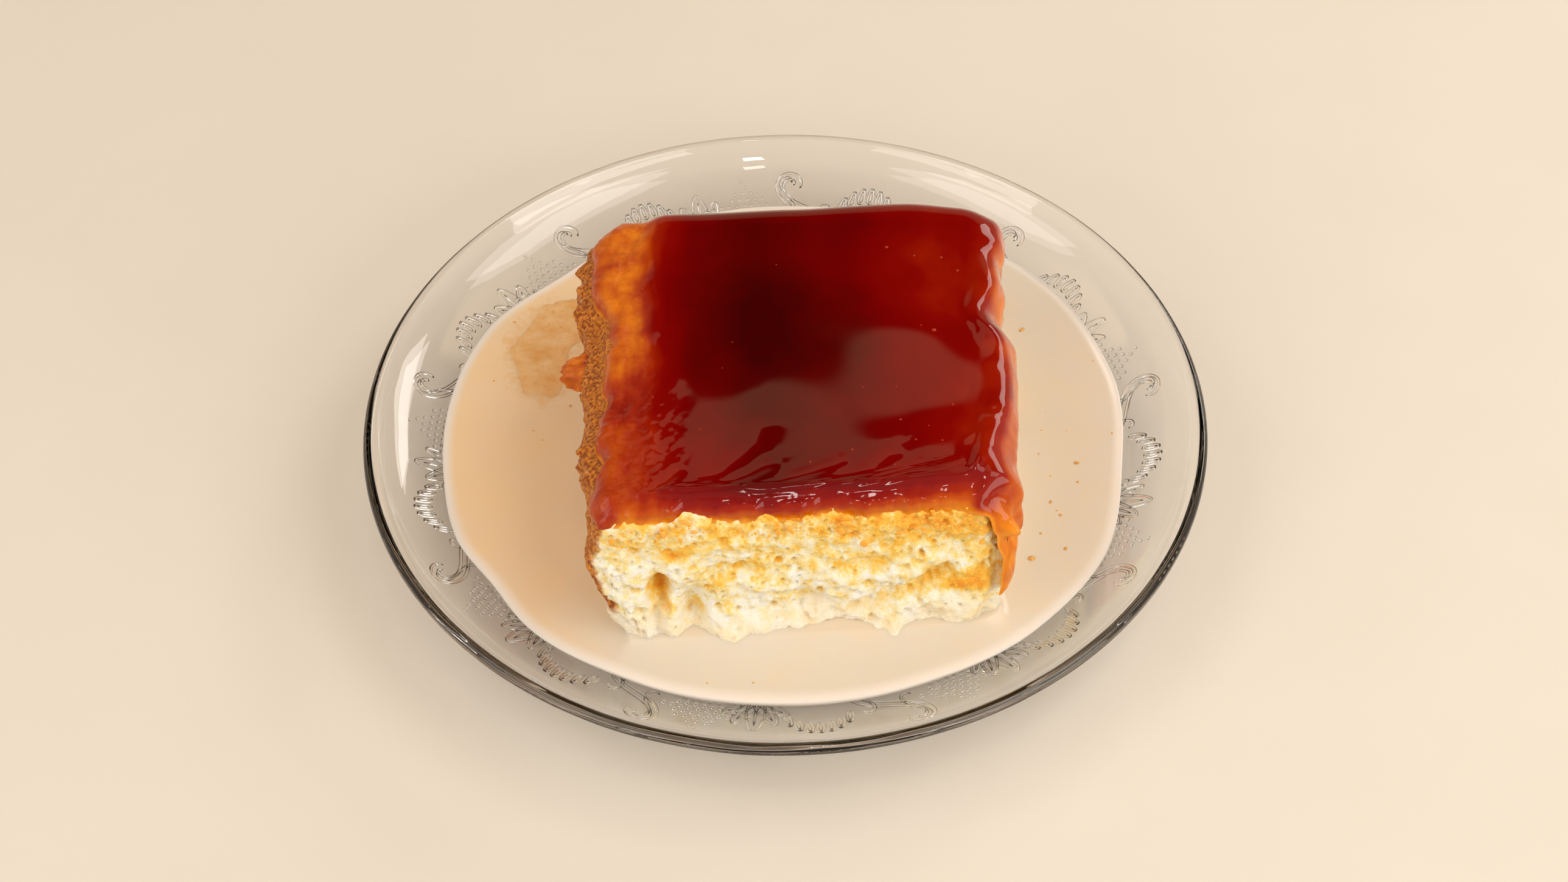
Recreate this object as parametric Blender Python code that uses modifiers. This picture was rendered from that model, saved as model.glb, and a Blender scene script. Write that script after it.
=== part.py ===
"""A square of tres leches cake under caramel glaze, standing in its milk on a pressed glass plate.

Metres, +Z up. The origin is the centre of the plate's foot ring, on the table.
Four solids: plate, milk, sponge and caramel_glaze. The sponge and the glaze share one
rounded block, which cake_point() and glaze_point() bend into the uneven cut piece.
"""

import math

import bmesh
import bpy
from mathutils import Vector, noise

CLEARANCE = 0.0003  # gap between pieces that touch

# Plate: a shallow dish with a conical wall that curls up into a rounded lip.
RIM_RADIUS = 0.1000
RIM_TOP = 0.0240
LIP_RADIUS = 0.0014
FLOOR_HEIGHT = 0.0071
FLOOR_RADIUS = 0.0620
WALL_SLOPE = 0.44
WALL_BLEND = 0.0100
CURL_START = 0.0900
CURL_RATE = 42.5
GLASS_THICKNESS = 0.0030
FOOT_OUTER = 0.0600
FOOT_INNER = 0.0550
FOOT_BEVEL = 0.0008
PLATE_STEPS = 72

# Milk: a pool whose edge wanders, as (bearing in degrees, radius in metres).
MILK_LEVEL = 0.0147
MILK_EDGE = (
    (-172, 0.0822), (-158, 0.0830), (-146, 0.0812), (-134, 0.0825), (-115, 0.0810),
    (-92, 0.0803), (-70, 0.0806), (-48, 0.0824), (-30, 0.0832), (-8, 0.0808),
    (14, 0.0828), (36, 0.0840), (62, 0.0826), (90, 0.0818), (118, 0.0812),
    (134, 0.0796), (154, 0.0832),
)
MILK_BEAD = 0.0030
MILK_BEAD_DROP = 0.0004
MILK_STEPS = 72

# Cake block: half sizes, the radius of its upright corners and of its top edges.
CAKE_CENTRE = (0.0019, -0.0105)
HALF_X = 0.0486
HALF_Y = 0.0480
SPONGE_TOP = 0.0504
CORNER_RADIUS = 0.0070
EDGE_RADIUS = 0.0040
CORE_X = HALF_X - CORNER_RADIUS
CORE_Y = HALF_Y - CORNER_RADIUS
SPONGE_CELLS = (36, 20, 14)
SIDE_EASE_START = 0.35

# How far each side stands out from the block: along the side, then up it.
LEFT_EDGE = ((-0.0475, 0.0011), (-0.0315, 0.0019), (-0.0215, 0.0003), (-0.0135, 0.0017),
             (-0.0055, 0.0007), (0.0085, 0.0004), (0.0155, 0.0001), (0.0215, -0.0023),
             (0.0365, -0.0023), (0.0445, -0.0003))
LEFT_FLARE = ((0.0070, 0.0090), (0.0140, 0.0080), (0.0200, 0.0050), (0.0280, 0.0015),
              (0.0360, 0.0000), (0.0420, 0.0020), (0.0504, 0.0042))
RIGHT_EDGE = ((-0.0480, -0.0022), (-0.0410, -0.0006), (-0.0330, -0.0016),
              (-0.0155, -0.0001), (-0.0035, 0.0005), (0.0045, 0.0009), (0.0125, -0.0019),
              (0.0225, -0.0003), (0.0305, -0.0010), (0.0385, 0.0007), (0.0480, 0.0015))
RIGHT_FLARE = ((0.0070, -0.0030), (0.0140, -0.0010), (0.0260, 0.0016), (0.0330, 0.0012),
               (0.0380, -0.0002), (0.0450, -0.0008), (0.0504, -0.0026))
FRONT_EDGE = ((-0.0480, -0.0020), (-0.0200, -0.0008), (0.0100, 0.0004), (0.0480, 0.0024))
FRONT_FLARE = ((0.0070, -0.0050), (0.0140, -0.0045), (0.0280, -0.0025), (0.0400, -0.0010),
               (0.0504, 0.0015))
BACK_EDGE = ((-0.0480, -0.0020), (-0.0260, -0.0012), (0.0000, -0.0004), (0.0280, 0.0014),
             (0.0480, -0.0012))
TOP_SWELL = 0.0008
TOP_SWELL_LENGTH = 0.030

# Torn crumb on the front face: x, z, half width, half height and depth of each hollow.
CRUMB_HOLLOWS = (
    (-0.0282, 0.0270, 0.0024, 0.0045, 0.0048),
    (-0.0212, 0.0215, 0.0034, 0.0065, 0.0040),
    (0.0260, 0.0240, 0.0050, 0.0026, 0.0030),
    (0.0330, 0.0285, 0.0050, 0.0026, 0.0036),
    (0.0400, 0.0320, 0.0040, 0.0022, 0.0026),
    (0.0110, 0.0200, 0.0095, 0.0050, 0.0030),
    (-0.0360, 0.0190, 0.0055, 0.0050, 0.0022),
)
CRUMB_DEPTH = 0.0016
CRUMB_GRAIN = 0.0050
CRUMB_TOP = 0.0450
CRUMB_BOTTOM = 0.0152
CRUMB_FADE = 0.0040
CRUST_DEPTH = 0.0009

# The flake of crust that has peeled away from the left side: place and reach.
FLAKE_Y = -0.0070
FLAKE_Z = 0.0355
FLAKE_LENGTH = 0.0055
FLAKE_HEIGHT = 0.0040
FLAKE_REACH = 0.0036

# Glaze: how far the sheet runs down from the core of the block on each side.
GLAZE_LIFT = 0.0006
GLAZE_CELLS = (32, 28)
GLAZE_CORE_SHARE = 0.62
GLAZE_DEEPEST = 0.0042
GLAZE_THICKNESS = 0.0029
GLAZE_EDGE = 0.0009
GLAZE_EDGE_WIDTH = 0.0060
LEFT_FILM = 0.0012
LEFT_FILM_START = -0.0430
LEFT_FILM_END = -0.0280
FRONT_DRAPE = ((-0.048, 0.0135), (-0.040, 0.0095), (-0.024, 0.0082), (0.004, 0.0086),
               (0.026, 0.0082), (0.036, 0.0105), (0.043, 0.0170), (0.048, 0.0210))
BACK_DRAPE = ((-0.048, 0.0120), (-0.020, 0.0150), (0.006, 0.0125), (0.030, 0.0160),
              (0.048, 0.0140))
LEFT_DRAPE = ((-0.048, 0.0190), (-0.036, 0.0180), (-0.020, 0.0145), (-0.008, 0.0150),
              (0.003, 0.0118), (0.014, 0.0160), (0.030, 0.0185), (0.048, 0.0150))
RIGHT_DRAPE = ((-0.048, 0.0230), (-0.040, 0.0195), (-0.028, 0.0135), (-0.010, 0.0195),
               (0.004, 0.0205), (0.013, 0.0150), (0.026, 0.0185), (0.048, 0.0150))

# Ripples dragged into the glaze near the front, and the rolled bead on the right.
RIPPLE_CENTRE = (-0.0060, -0.0330)
RIPPLE_REACH = (0.0300, 0.0110)
RIPPLE_HEIGHT = 0.0008
RIPPLE_LENGTH = 0.0115
RIPPLE_BEARING = math.radians(-38)
BEAD_X = 0.0450
BEAD_WIDTH = 0.0045
BEAD_HEIGHT = 0.0007


def clear_scene():
    """Removes the startup objects."""
    for obj in list(bpy.data.objects):
        bpy.data.objects.remove(obj)


def collection_named(name):
    """A new collection linked to the scene."""
    made = bpy.data.collections.new(name)
    bpy.context.scene.collection.children.link(made)
    return made


def finish(name, colour, roughness, alpha=1.0):
    """A Principled material; alpha under 1 is clear glass."""
    made = bpy.data.materials.new(name)
    made.use_nodes = True
    shader = made.node_tree.nodes["Principled BSDF"]
    shader.inputs["Base Color"].default_value = (*colour, 1.0)
    shader.inputs["Roughness"].default_value = roughness
    shader.inputs["Metallic"].default_value = 0.0
    shader.inputs["Alpha"].default_value = alpha
    made.diffuse_color = (*colour, alpha)
    return made


def object_from(bm, name, material, home):
    """Turns a bmesh into a smooth-shaded object of that name."""
    mesh = bpy.data.meshes.new(name)
    bm.to_mesh(mesh)
    bm.free()
    mesh.materials.append(material)
    mesh.shade_smooth()
    obj = bpy.data.objects.new(name, mesh)
    home.objects.link(obj)
    return obj


def ease(value, start, end):
    """0 before start, 1 after end, and an S-curve between them."""
    t = min(max((value - start) / (end - start), 0.0), 1.0)
    return t * t * (3 - 2 * t)


def between(points, at):
    """The height at one place of a gentle curve through (place, height) points."""
    if at <= points[0][0]:
        return points[0][1]
    for (x0, y0), (x1, y1) in zip(points, points[1:]):
        if at <= x1:
            return y0 + (y1 - y0) * ease(at, x0, x1)
    return points[-1][1]


def round_the_clock(points, bearing):
    """between() for a table of bearings in degrees, which closes on itself."""
    first, last = points[0], points[-1]
    looped = (
        (last[0] - 360, last[1]),
        *points,
        (first[0] + 360, first[1]),
    )
    return between(looped, bearing)


def dish_height(radius):
    """Height of the plate's upper surface at a distance from its centre."""
    run = max(radius - FLOOR_RADIUS, 0.0)
    blend = min(run, WALL_BLEND)
    rise = WALL_SLOPE * (blend * blend / (2 * WALL_BLEND) + run - blend)
    curl = CURL_RATE * max(radius - CURL_START, 0.0) ** 2
    return FLOOR_HEIGHT + rise + curl


# Plate


def plate_profile():
    """Half section of the plate: the upper side outwards, round the lip, and back below."""
    lip = (RIM_RADIUS - LIP_RADIUS, RIM_TOP - LIP_RADIUS)
    inner = [0.0, FLOOR_RADIUS, 0.0655, 0.0690, 0.0725, 0.0900, 0.0930, 0.0955]
    profile = [(r, dish_height(r)) for r in inner]
    for degrees in (170, 130, 90, 45, 0, -40):
        angle = math.radians(degrees)
        profile.append((lip[0] + LIP_RADIUS * math.cos(angle), lip[1] + LIP_RADIUS * math.sin(angle)))
    below = [0.0968, 0.0925, 0.0740, 0.0680, 0.0630]
    for radius in below:
        profile.append((radius, dish_height(radius - GLASS_THICKNESS / 3) - GLASS_THICKNESS * 1.06))
    underside = FLOOR_HEIGHT - GLASS_THICKNESS * 1.15
    profile += [
        (FOOT_OUTER + FOOT_BEVEL, underside - 0.0006),
        (FOOT_OUTER, FOOT_BEVEL),
        (FOOT_OUTER - FOOT_BEVEL, 0.0),
        (FOOT_INNER + FOOT_BEVEL, 0.0),
        (FOOT_INNER, FOOT_BEVEL),
        (FOOT_INNER - FOOT_BEVEL, underside),
        (0.0, underside),
    ]
    return profile


def make_plate(material, home):
    """The glass dish: its half section turned by a Screw modifier."""
    mesh = bpy.data.meshes.new("plate")
    profile = [(x, 0.0, z) for x, z in plate_profile()]
    mesh.from_pydata(profile, [(i, i + 1) for i in range(len(profile) - 1)], [])
    mesh.materials.append(material)
    plate = bpy.data.objects.new("plate", mesh)
    home.objects.link(plate)
    turn = plate.modifiers.new("turn", "SCREW")
    turn.steps = turn.render_steps = PLATE_STEPS
    turn.use_merge_vertices = True
    turn.merge_threshold = 0.00001
    turn.use_smooth_shade = True
    return plate


# Cake block


def corner_rounded(x, y):
    """(core x, core y, way out x, way out y) of a place on the square block, its corners rounded."""
    qx = min(max(x, -CORE_X), CORE_X)
    qy = min(max(y, -CORE_Y), CORE_Y)
    ex, ey = x - qx, y - qy
    if ex and ey:
        pull = max(abs(ex), abs(ey)) / math.hypot(ex, ey)
        ex, ey = ex * pull, ey * pull
    return qx, qy, ex, ey


def shaped(x, y, z):
    """Bends a place on the plain block into the uneven cake, standing on the plate."""
    left = ease(-x / HALF_X, SIDE_EASE_START, 1.0)
    right = ease(x / HALF_X, SIDE_EASE_START, 1.0)
    front = ease(-y / HALF_Y, SIDE_EASE_START, 1.0)
    back = ease(y / HALF_Y, SIDE_EASE_START, 1.0)
    bent_x = CAKE_CENTRE[0] + x
    bent_x += left * (between(LEFT_EDGE, y) + between(LEFT_FLARE, z))
    bent_x += right * (between(RIGHT_EDGE, y) + between(RIGHT_FLARE, z))
    bent_y = CAKE_CENTRE[1] + y
    bent_y += front * (between(FRONT_EDGE, x) + between(FRONT_FLARE, z))
    bent_y += back * between(BACK_EDGE, x)
    bottom = dish_height(math.hypot(bent_x, bent_y)) + CLEARANCE
    swell = TOP_SWELL * noise.noise(Vector((x, y, 0.0)) / TOP_SWELL_LENGTH)
    share = (z - FLOOR_HEIGHT) / (SPONGE_TOP - FLOOR_HEIGHT)
    return Vector((bent_x, bent_y, bottom + (SPONGE_TOP + swell - bottom) * share))


def cake_point(x, y, z, lift=0.0):
    """A place on the square block moved to the rounded, bent one, and lifted off it sideways."""
    qx, qy, ex, ey = corner_rounded(x, y)
    out = math.hypot(ex, ey)
    flat = CORNER_RADIUS - EDGE_RADIUS
    over = out - flat
    up = z - (SPONGE_TOP - EDGE_RADIUS)
    if over > 0 and up > 0:
        pull = max(over, up) / math.hypot(over, up)
        over, up = over * pull, up * pull
        z = SPONGE_TOP - EDGE_RADIUS + up
    if out:
        reach = (flat + over) / out * (CORNER_RADIUS + lift) / CORNER_RADIUS
        ex, ey = ex * reach, ey * reach
    return shaped(qx + ex, qy + ey, z)


def glaze_point(u, v, lift):
    """A place on the cake's skin: u and v run over the top and on down the sides."""
    qx = min(max(u, -CORE_X), CORE_X)
    qy = min(max(v, -CORE_Y), CORE_Y)
    ex, ey = u - qx, v - qy
    rho = math.hypot(ex, ey)
    flat = CORNER_RADIUS - EDGE_RADIUS
    arc = EDGE_RADIUS * math.pi / 2
    turn = min(max(rho - flat, 0.0) / EDGE_RADIUS, math.pi / 2)
    out = min(rho, flat) + (EDGE_RADIUS + lift) * math.sin(turn)
    down = max(rho - flat - arc, 0.0)
    z = SPONGE_TOP - EDGE_RADIUS + (EDGE_RADIUS + lift) * math.cos(turn) - down
    if rho:
        ex, ey = ex / rho * out, ey / rho * out
    return shaped(qx + ex, qy + ey, z)


def hollow_depth(x, z):
    """How deep the torn front face is at a place, from its named hollows and its crumb."""
    depth = 0.0
    for hx, hz, width, height, deep in CRUMB_HOLLOWS:
        away = ((x - hx) / width) ** 2 + ((z - hz) / height) ** 2
        depth = max(depth, deep * math.exp(-away))
    grain = noise.noise(Vector((x, 0.0, z)) / CRUMB_GRAIN)
    depth += CRUMB_DEPTH * (0.5 + grain)
    fade_up = 1 - ease(z, CRUMB_TOP - CRUMB_FADE, CRUMB_TOP)
    fade_down = ease(z, CRUMB_BOTTOM, CRUMB_BOTTOM + CRUMB_FADE)
    return max(depth, 0.0) * fade_up * fade_down


def crust_depth(y, z):
    """How rough the browned sides are at a place."""
    grain = noise.noise(Vector((0.3, y, z)) / CRUMB_GRAIN)
    fade_up = 1 - ease(z, CRUMB_TOP - 3 * CRUMB_FADE, CRUMB_TOP - 2 * CRUMB_FADE)
    return CRUST_DEPTH * max(0.5 + grain, 0.0) * fade_up * ease(z, CRUMB_BOTTOM, CRUMB_BOTTOM + CRUMB_FADE)


def flake_reach(y, z):
    """How far the peeled flake stands out of the left side."""
    away = ((y - FLAKE_Y) / FLAKE_LENGTH) ** 2 + ((z - FLAKE_Z) / FLAKE_HEIGHT) ** 2
    return FLAKE_REACH * math.exp(-away)


def stations(half, radius, cells):
    """Cut places across one direction of the block: close at the rounded edges, even between."""
    core = half - radius
    inside = [core * (2 * i / (cells - 4) - 1) for i in range(cells - 3)]
    return [-half + radius * 0.4, *inside, half - radius * 0.4]


def block_mesh(bottom, top, cells):
    """A box cut into a lattice by planes, as a bmesh."""
    bm = bmesh.new()
    bmesh.ops.create_cube(bm, size=2.0)
    for vert in bm.verts:
        vert.co = Vector((vert.co.x * HALF_X, vert.co.y * HALF_Y, bottom if vert.co.z < 0 else top))
    heights = [bottom + (top - bottom) * (i / cells[2]) ** 0.9 for i in range(1, cells[2])]
    cuts = [(place, (1, 0, 0)) for place in stations(HALF_X, CORNER_RADIUS, cells[0])]
    cuts += [(place, (0, 1, 0)) for place in stations(HALF_Y, CORNER_RADIUS, cells[1])]
    cuts += [(place, (0, 0, 1)) for place in heights]
    for place, normal in cuts:
        everything = [*bm.verts, *bm.edges, *bm.faces]
        bmesh.ops.bisect_plane(bm, geom=everything, plane_co=Vector(normal) * place, plane_no=normal)
    return bm


def make_sponge(material, home):
    """The cake itself, on the plate's floor, torn at the front and crusted at the sides."""
    bm = block_mesh(FLOOR_HEIGHT, SPONGE_TOP, SPONGE_CELLS)
    nearly = 1e-6
    for vert in bm.verts:
        x, y, z = vert.co
        vert.co = cake_point(x, y, z)
        if y < -HALF_Y + nearly:
            vert.co.y += hollow_depth(vert.co.x, vert.co.z)
        elif x < -HALF_X + nearly:
            vert.co.x += crust_depth(vert.co.y, vert.co.z) - flake_reach(vert.co.y, vert.co.z)
        elif x > HALF_X - nearly:
            vert.co.x -= crust_depth(vert.co.y, vert.co.z)
    floor_edges = [e for e in bm.edges if all(v.co.z < FLOOR_HEIGHT + 2 * CLEARANCE for v in e.verts)]
    floor_verts = list({v for e in floor_edges for v in e.verts})
    bmesh.ops.dissolve_limit(bm, angle_limit=math.radians(1), verts=floor_verts, edges=floor_edges)
    return object_from(bm, "sponge", material, home)


# Glaze


def sheet_place(share, core, drape_low, drape_high):
    """Distance from the middle of the sheet for a share from -1 to 1."""
    drape = drape_high if share > 0 else drape_low
    if abs(share) < GLAZE_CORE_SHARE:
        return core * share / GLAZE_CORE_SHARE
    past = (abs(share) - GLAZE_CORE_SHARE) / (1 - GLAZE_CORE_SHARE)
    return math.copysign(core + drape * past, share)


def ripple(u, v):
    """Height of the dragged ripples at a place on the sheet."""
    du, dv = u - RIPPLE_CENTRE[0], v - RIPPLE_CENTRE[1]
    within = math.exp(-((du / RIPPLE_REACH[0]) ** 4) - (dv / RIPPLE_REACH[1]) ** 2)
    across = du * math.cos(RIPPLE_BEARING) + dv * math.sin(RIPPLE_BEARING)
    return RIPPLE_HEIGHT * within * math.sin(2 * math.pi * across / RIPPLE_LENGTH)


def glaze_depth(u, v, to_edge):
    """Thickness of the glaze at a place that far from the sheet's own edge."""
    film = ease(u, LEFT_FILM_START, LEFT_FILM_END)
    body = LEFT_FILM + (GLAZE_THICKNESS - LEFT_FILM) * film
    bead = BEAD_HEIGHT * math.exp(-(((u - BEAD_X) / BEAD_WIDTH) ** 2))
    depth = body + bead + ripple(u, v)
    return GLAZE_EDGE + (depth - GLAZE_EDGE) * ease(to_edge, 0.0, GLAZE_EDGE_WIDTH)


def make_glaze(material, home):
    """The caramel: a sheet draped over the cake, thickened by a Solidify modifier."""
    bm = bmesh.new()
    cells_x, cells_y = GLAZE_CELLS
    bmesh.ops.create_grid(bm, x_segments=cells_x, y_segments=cells_y, size=1.0)
    weights = {}
    for vert in bm.verts:
        s, t = vert.co.x, vert.co.y
        guess_v = HALF_Y * t
        u = sheet_place(s, CORE_X, between(LEFT_DRAPE, guess_v), between(RIGHT_DRAPE, guess_v))
        v = sheet_place(t, CORE_Y, between(FRONT_DRAPE, HALF_X * s), between(BACK_DRAPE, HALF_X * s))
        to_edge = min(1 - abs(s), 1 - abs(t)) * (HALF_X + HALF_Y) / 2
        weights[vert.index] = glaze_depth(u, v, to_edge) / GLAZE_DEEPEST
        vert.co = glaze_point(u, v, GLAZE_LIFT)
    glaze = object_from(bm, "caramel_glaze", material, home)
    group = glaze.vertex_groups.new(name="depth")
    for index, weight in weights.items():
        group.add([index], min(weight, 1.0), "REPLACE")
    thick = glaze.modifiers.new("thickness", "SOLIDIFY")
    thick.thickness = GLAZE_DEEPEST
    thick.offset = 1.0
    thick.vertex_group = "depth"
    thick.use_rim = True
    return glaze


# Milk


def milk_radius(bearing):
    """Radius of the pool's edge at a bearing in radians."""
    return round_the_clock(MILK_EDGE, math.degrees(bearing))


def make_milk(material, home, cutters):
    """The pool: a spun disc that fits the plate, its edge moved in and out, cut round the cake."""
    bm = bmesh.new()
    shares_above = [0.0, 1 - MILK_BEAD / RIM_RADIUS, 1.0]
    shares_below = [1.0, 0.92, 0.84, 0.77, 0.70, 0.0]
    count_above = len(shares_above)
    ring = [bm.verts.new((share, 0.0, 1.0 if i < count_above else 0.0))
            for i, share in enumerate(shares_above + shares_below)]
    edges = [bm.edges.new(pair) for pair in zip(ring, ring[1:])]
    bmesh.ops.spin(bm, geom=ring + edges, axis=(0, 0, 1), cent=(0, 0, 0), angle=2 * math.pi,
                   steps=MILK_STEPS, use_merge=True, use_duplicate=False)
    bmesh.ops.remove_doubles(bm, verts=bm.verts, dist=1e-5)
    for vert in bm.verts:
        above = vert.co.z > 0.5
        share = math.hypot(vert.co.x, vert.co.y)
        bearing = math.atan2(vert.co.y, vert.co.x)
        radius = share * milk_radius(bearing)
        drop = MILK_BEAD_DROP * ease(share, 1 - MILK_BEAD / RIM_RADIUS, 1.0)
        z = dish_height(radius) + CLEARANCE
        if above:
            z = max(MILK_LEVEL - drop, z + MILK_BEAD_DROP)
        vert.co = Vector((radius * math.cos(bearing), radius * math.sin(bearing), z))
    bmesh.ops.recalc_face_normals(bm, faces=bm.faces)
    milk = object_from(bm, "milk", material, home)

    hole = block_mesh(FLOOR_HEIGHT - 0.006, SPONGE_TOP, (SPONGE_CELLS[0], SPONGE_CELLS[1], 4))
    for vert in hole.verts:
        x, y, z = vert.co
        vert.co = cake_point(x, y, max(z, FLOOR_HEIGHT), 1.3 * CLEARANCE)
        if z < FLOOR_HEIGHT:
            vert.co.z = z
    cutter = object_from(hole, "milk_cutter", material, cutters)
    cutter.hide_render = True
    cutter.display_type = "WIRE"
    cut = milk.modifiers.new("round the cake", "BOOLEAN")
    cut.operation = "DIFFERENCE"
    cut.solver = "EXACT"
    cut.object = cutter
    return milk


def main():
    """Builds the four pieces."""
    clear_scene()
    home = collection_named("tres_leches_cake")
    cutters = collection_named("cutters")
    glass = finish("clear pressed glass", (0.93, 0.95, 0.95), 0.03, alpha=0.3)
    cream = finish("sweet milk", (0.90, 0.78, 0.60), 0.20)
    crumb = finish("soaked sponge", (0.93, 0.78, 0.42), 0.60)
    caramel = finish("caramel glaze", (0.16, 0.012, 0.004), 0.10)
    make_plate(glass, home)
    make_sponge(crumb, home)
    make_glaze(caramel, home)
    make_milk(cream, home, cutters)


main()
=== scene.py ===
"""Dresses the tres leches cake: soaked sponge, caramel, milk and the pressed glass plate.

Metres, +Z up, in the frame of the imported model. Each sub-assembly is a class whose fields
are its sizes; its meshes are worked out with numpy and joined to one piece for each kind.
"""

import itertools
import logging
import math
from dataclasses import dataclass, field
from enum import Enum

import bpy
import numpy as np
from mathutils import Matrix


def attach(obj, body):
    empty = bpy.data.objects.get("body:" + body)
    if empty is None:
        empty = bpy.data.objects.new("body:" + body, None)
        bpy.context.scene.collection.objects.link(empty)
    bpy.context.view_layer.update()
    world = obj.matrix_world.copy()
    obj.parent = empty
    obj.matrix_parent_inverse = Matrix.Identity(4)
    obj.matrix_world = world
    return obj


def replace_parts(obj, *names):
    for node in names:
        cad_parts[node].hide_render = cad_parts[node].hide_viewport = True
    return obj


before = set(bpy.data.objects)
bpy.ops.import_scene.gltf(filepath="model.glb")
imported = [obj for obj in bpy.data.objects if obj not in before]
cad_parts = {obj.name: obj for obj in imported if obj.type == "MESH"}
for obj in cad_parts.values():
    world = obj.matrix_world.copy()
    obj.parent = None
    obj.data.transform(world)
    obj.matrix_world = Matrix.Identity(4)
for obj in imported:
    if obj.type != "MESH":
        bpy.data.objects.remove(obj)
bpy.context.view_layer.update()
BODY = "root"
LOG = logging.getLogger("tres_leches")

Array = np.ndarray
Colour = tuple[float, float, float, float]
Pair = tuple[float, float]
Triple = tuple[float, float, float]
Table = tuple[Pair, ...]
# A soft patch: middle across and along a face, half width, half length, and strength.
Patch = tuple[float, float, float, float, float]
Spots = tuple[Patch, ...]
Socket = bpy.types.NodeSocket
NodeTree = bpy.types.NodeTree
Material = bpy.types.Material
Thing = bpy.types.Object

MM = 0.001
# A turn about all three axes, so that no pattern lines up with the cake's sides.
SKEW = np.array([[0.36, 0.48, -0.8], [-0.8, 0.6, 0.0], [0.48, 0.64, 0.6]])
# Odd numbers and shifts that stir the bits of a whole number into a random-looking one.
WORD = 0xFFFFFFFF
SEED_STIR = (0x9E3779B1, 0x7F4A7C15)
STIR = (0x85EBCA6B, 0xC2B2AE35)
SHIFT = (13, 16)
# A bead tapers over this many points at each end, down to this share of its section.
TAPER_POINTS = 2.0
TIP_AREA = 0.04
# Points in each span of a smooth line, before they are spaced evenly.
SPAN_POINTS = 24


# ---- numbers and noise


def linear(code: str) -> Colour:
    """Turns an sRGB colour into the linear one that shaders work in.

    Args:
        code: The colour as "#rrggbb".

    Returns:
        Linear red, green, blue and an alpha of 1.
    """
    parts = [int(code[i:i + 2], 16) / 255 for i in (1, 3, 5)]
    return (*(c / 12.92 if c <= 0.04045 else ((c + 0.055) / 1.055) ** 2.4 for c in parts), 1.0)


def ease(value: Array | float, start: float, end: float) -> Array:
    """0 before start, 1 after end, and an S-curve between them."""
    t = np.clip((np.asarray(value, float) - start) / (end - start), 0.0, 1.0)
    return t * t * (3 - 2 * t)


def between(points: Table, at: Array | float) -> Array:
    """Heights of a gentle curve through (place, height) points.

    Args:
        points: The points that the curve passes, in order of place.
        at: The places asked for.

    Returns:
        The height at each place, level beyond the ends.
    """
    places = np.array([p for p, _ in points])
    heights = np.array([h for _, h in points])
    at = np.asarray(at, float)
    after = np.clip(np.searchsorted(places, at), 1, len(places) - 1)
    share = ease(0.5 + (at - (places[after] + places[after - 1]) / 2)
                 / (places[after] - places[after - 1]), 0.0, 1.0)
    return heights[after - 1] + (heights[after] - heights[after - 1]) * share


def scrambled(cells: Array, seed: int) -> Array:
    """One repeatable random number for each whole-number cell.

    Args:
        cells: Cell numbers, the last axis holding one number for each direction.
        seed: Chooses one of many unlike sets of numbers.

    Returns:
        Numbers from 0 to 1.
    """
    whole = (cells.astype(np.int64) & WORD).astype(np.uint32)
    mixed = np.full(whole.shape[:-1], (seed * SEED_STIR[0] + SEED_STIR[1]) & WORD, np.uint32)
    for axis in range(whole.shape[-1]):
        mixed = (mixed ^ whole[..., axis]) * np.uint32(STIR[0])
        mixed = (mixed ^ (mixed >> np.uint32(SHIFT[0]))) * np.uint32(STIR[1])
        mixed = mixed ^ (mixed >> np.uint32(SHIFT[1]))
    return mixed / (WORD + 1.0)


def lumps(points: Array, size: float, seed: int = 0, octaves: int = 1) -> Array:
    """Smooth noise in space.

    Args:
        points: Places, shape (..., 3).
        size: Distance between neighbouring lumps and dips, in the units of points.
        seed: Chooses the pattern.
        octaves: How many patterns are added, each half as large and half as strong.

    Returns:
        Heights from -1 to 1.
    """
    total = np.zeros(points.shape[:-1])
    weight, weights = 1.0, 0.0
    for octave in range(octaves):
        place = (points @ SKEW) / (size / 2 ** octave)
        cell = np.floor(place)
        t = place - cell
        # The quintic fade, whose slope and bend are both 0 at the ends of a cell.
        t = t * t * t * (t * (t * 6 - 15) + 10)
        value = np.zeros(points.shape[:-1])
        for corner in itertools.product((0, 1), repeat=3):
            share = np.prod(np.where(np.array(corner) == 1, t, 1 - t), axis=-1)
            value += share * scrambled(cell + corner, seed + octave)
        total += weight * (2 * value - 1)
        weights += weight
        weight *= 0.5
    return total / weights


def pores(points: Array, spacing: float, radii: Pair, share: float,
          seed: int) -> Array:
    """Round bubbles scattered through a crumb, cut open where a surface meets them.

    Args:
        points: Places on the surface, shape (N, 3), in metres.
        spacing: Distance between bubble centres, in metres.
        radii: Smallest and largest bubble radius, in metres.
        share: How many of the possible bubbles are there, from 0 to 1.
        seed: Chooses the pattern.

    Returns:
        0 outside the bubbles, up to 1 at the middle of one.
    """
    place = points / spacing
    home = np.floor(place)
    deepest = np.zeros(len(points))
    for step in itertools.product((-1, 0, 1), repeat=3):
        cell = home + step
        centre = cell + np.stack([scrambled(cell, seed + k) for k in range(3)], axis=-1)
        radius = radii[0] + (radii[1] - radii[0]) * scrambled(cell, seed + 3)
        away = np.linalg.norm(place - centre, axis=-1) * spacing / radius
        bowl = np.clip(1 - away ** 2, 0.0, 1.0) * (scrambled(cell, seed + 4) < share)
        deepest = np.maximum(deepest, bowl)
    return deepest


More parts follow.
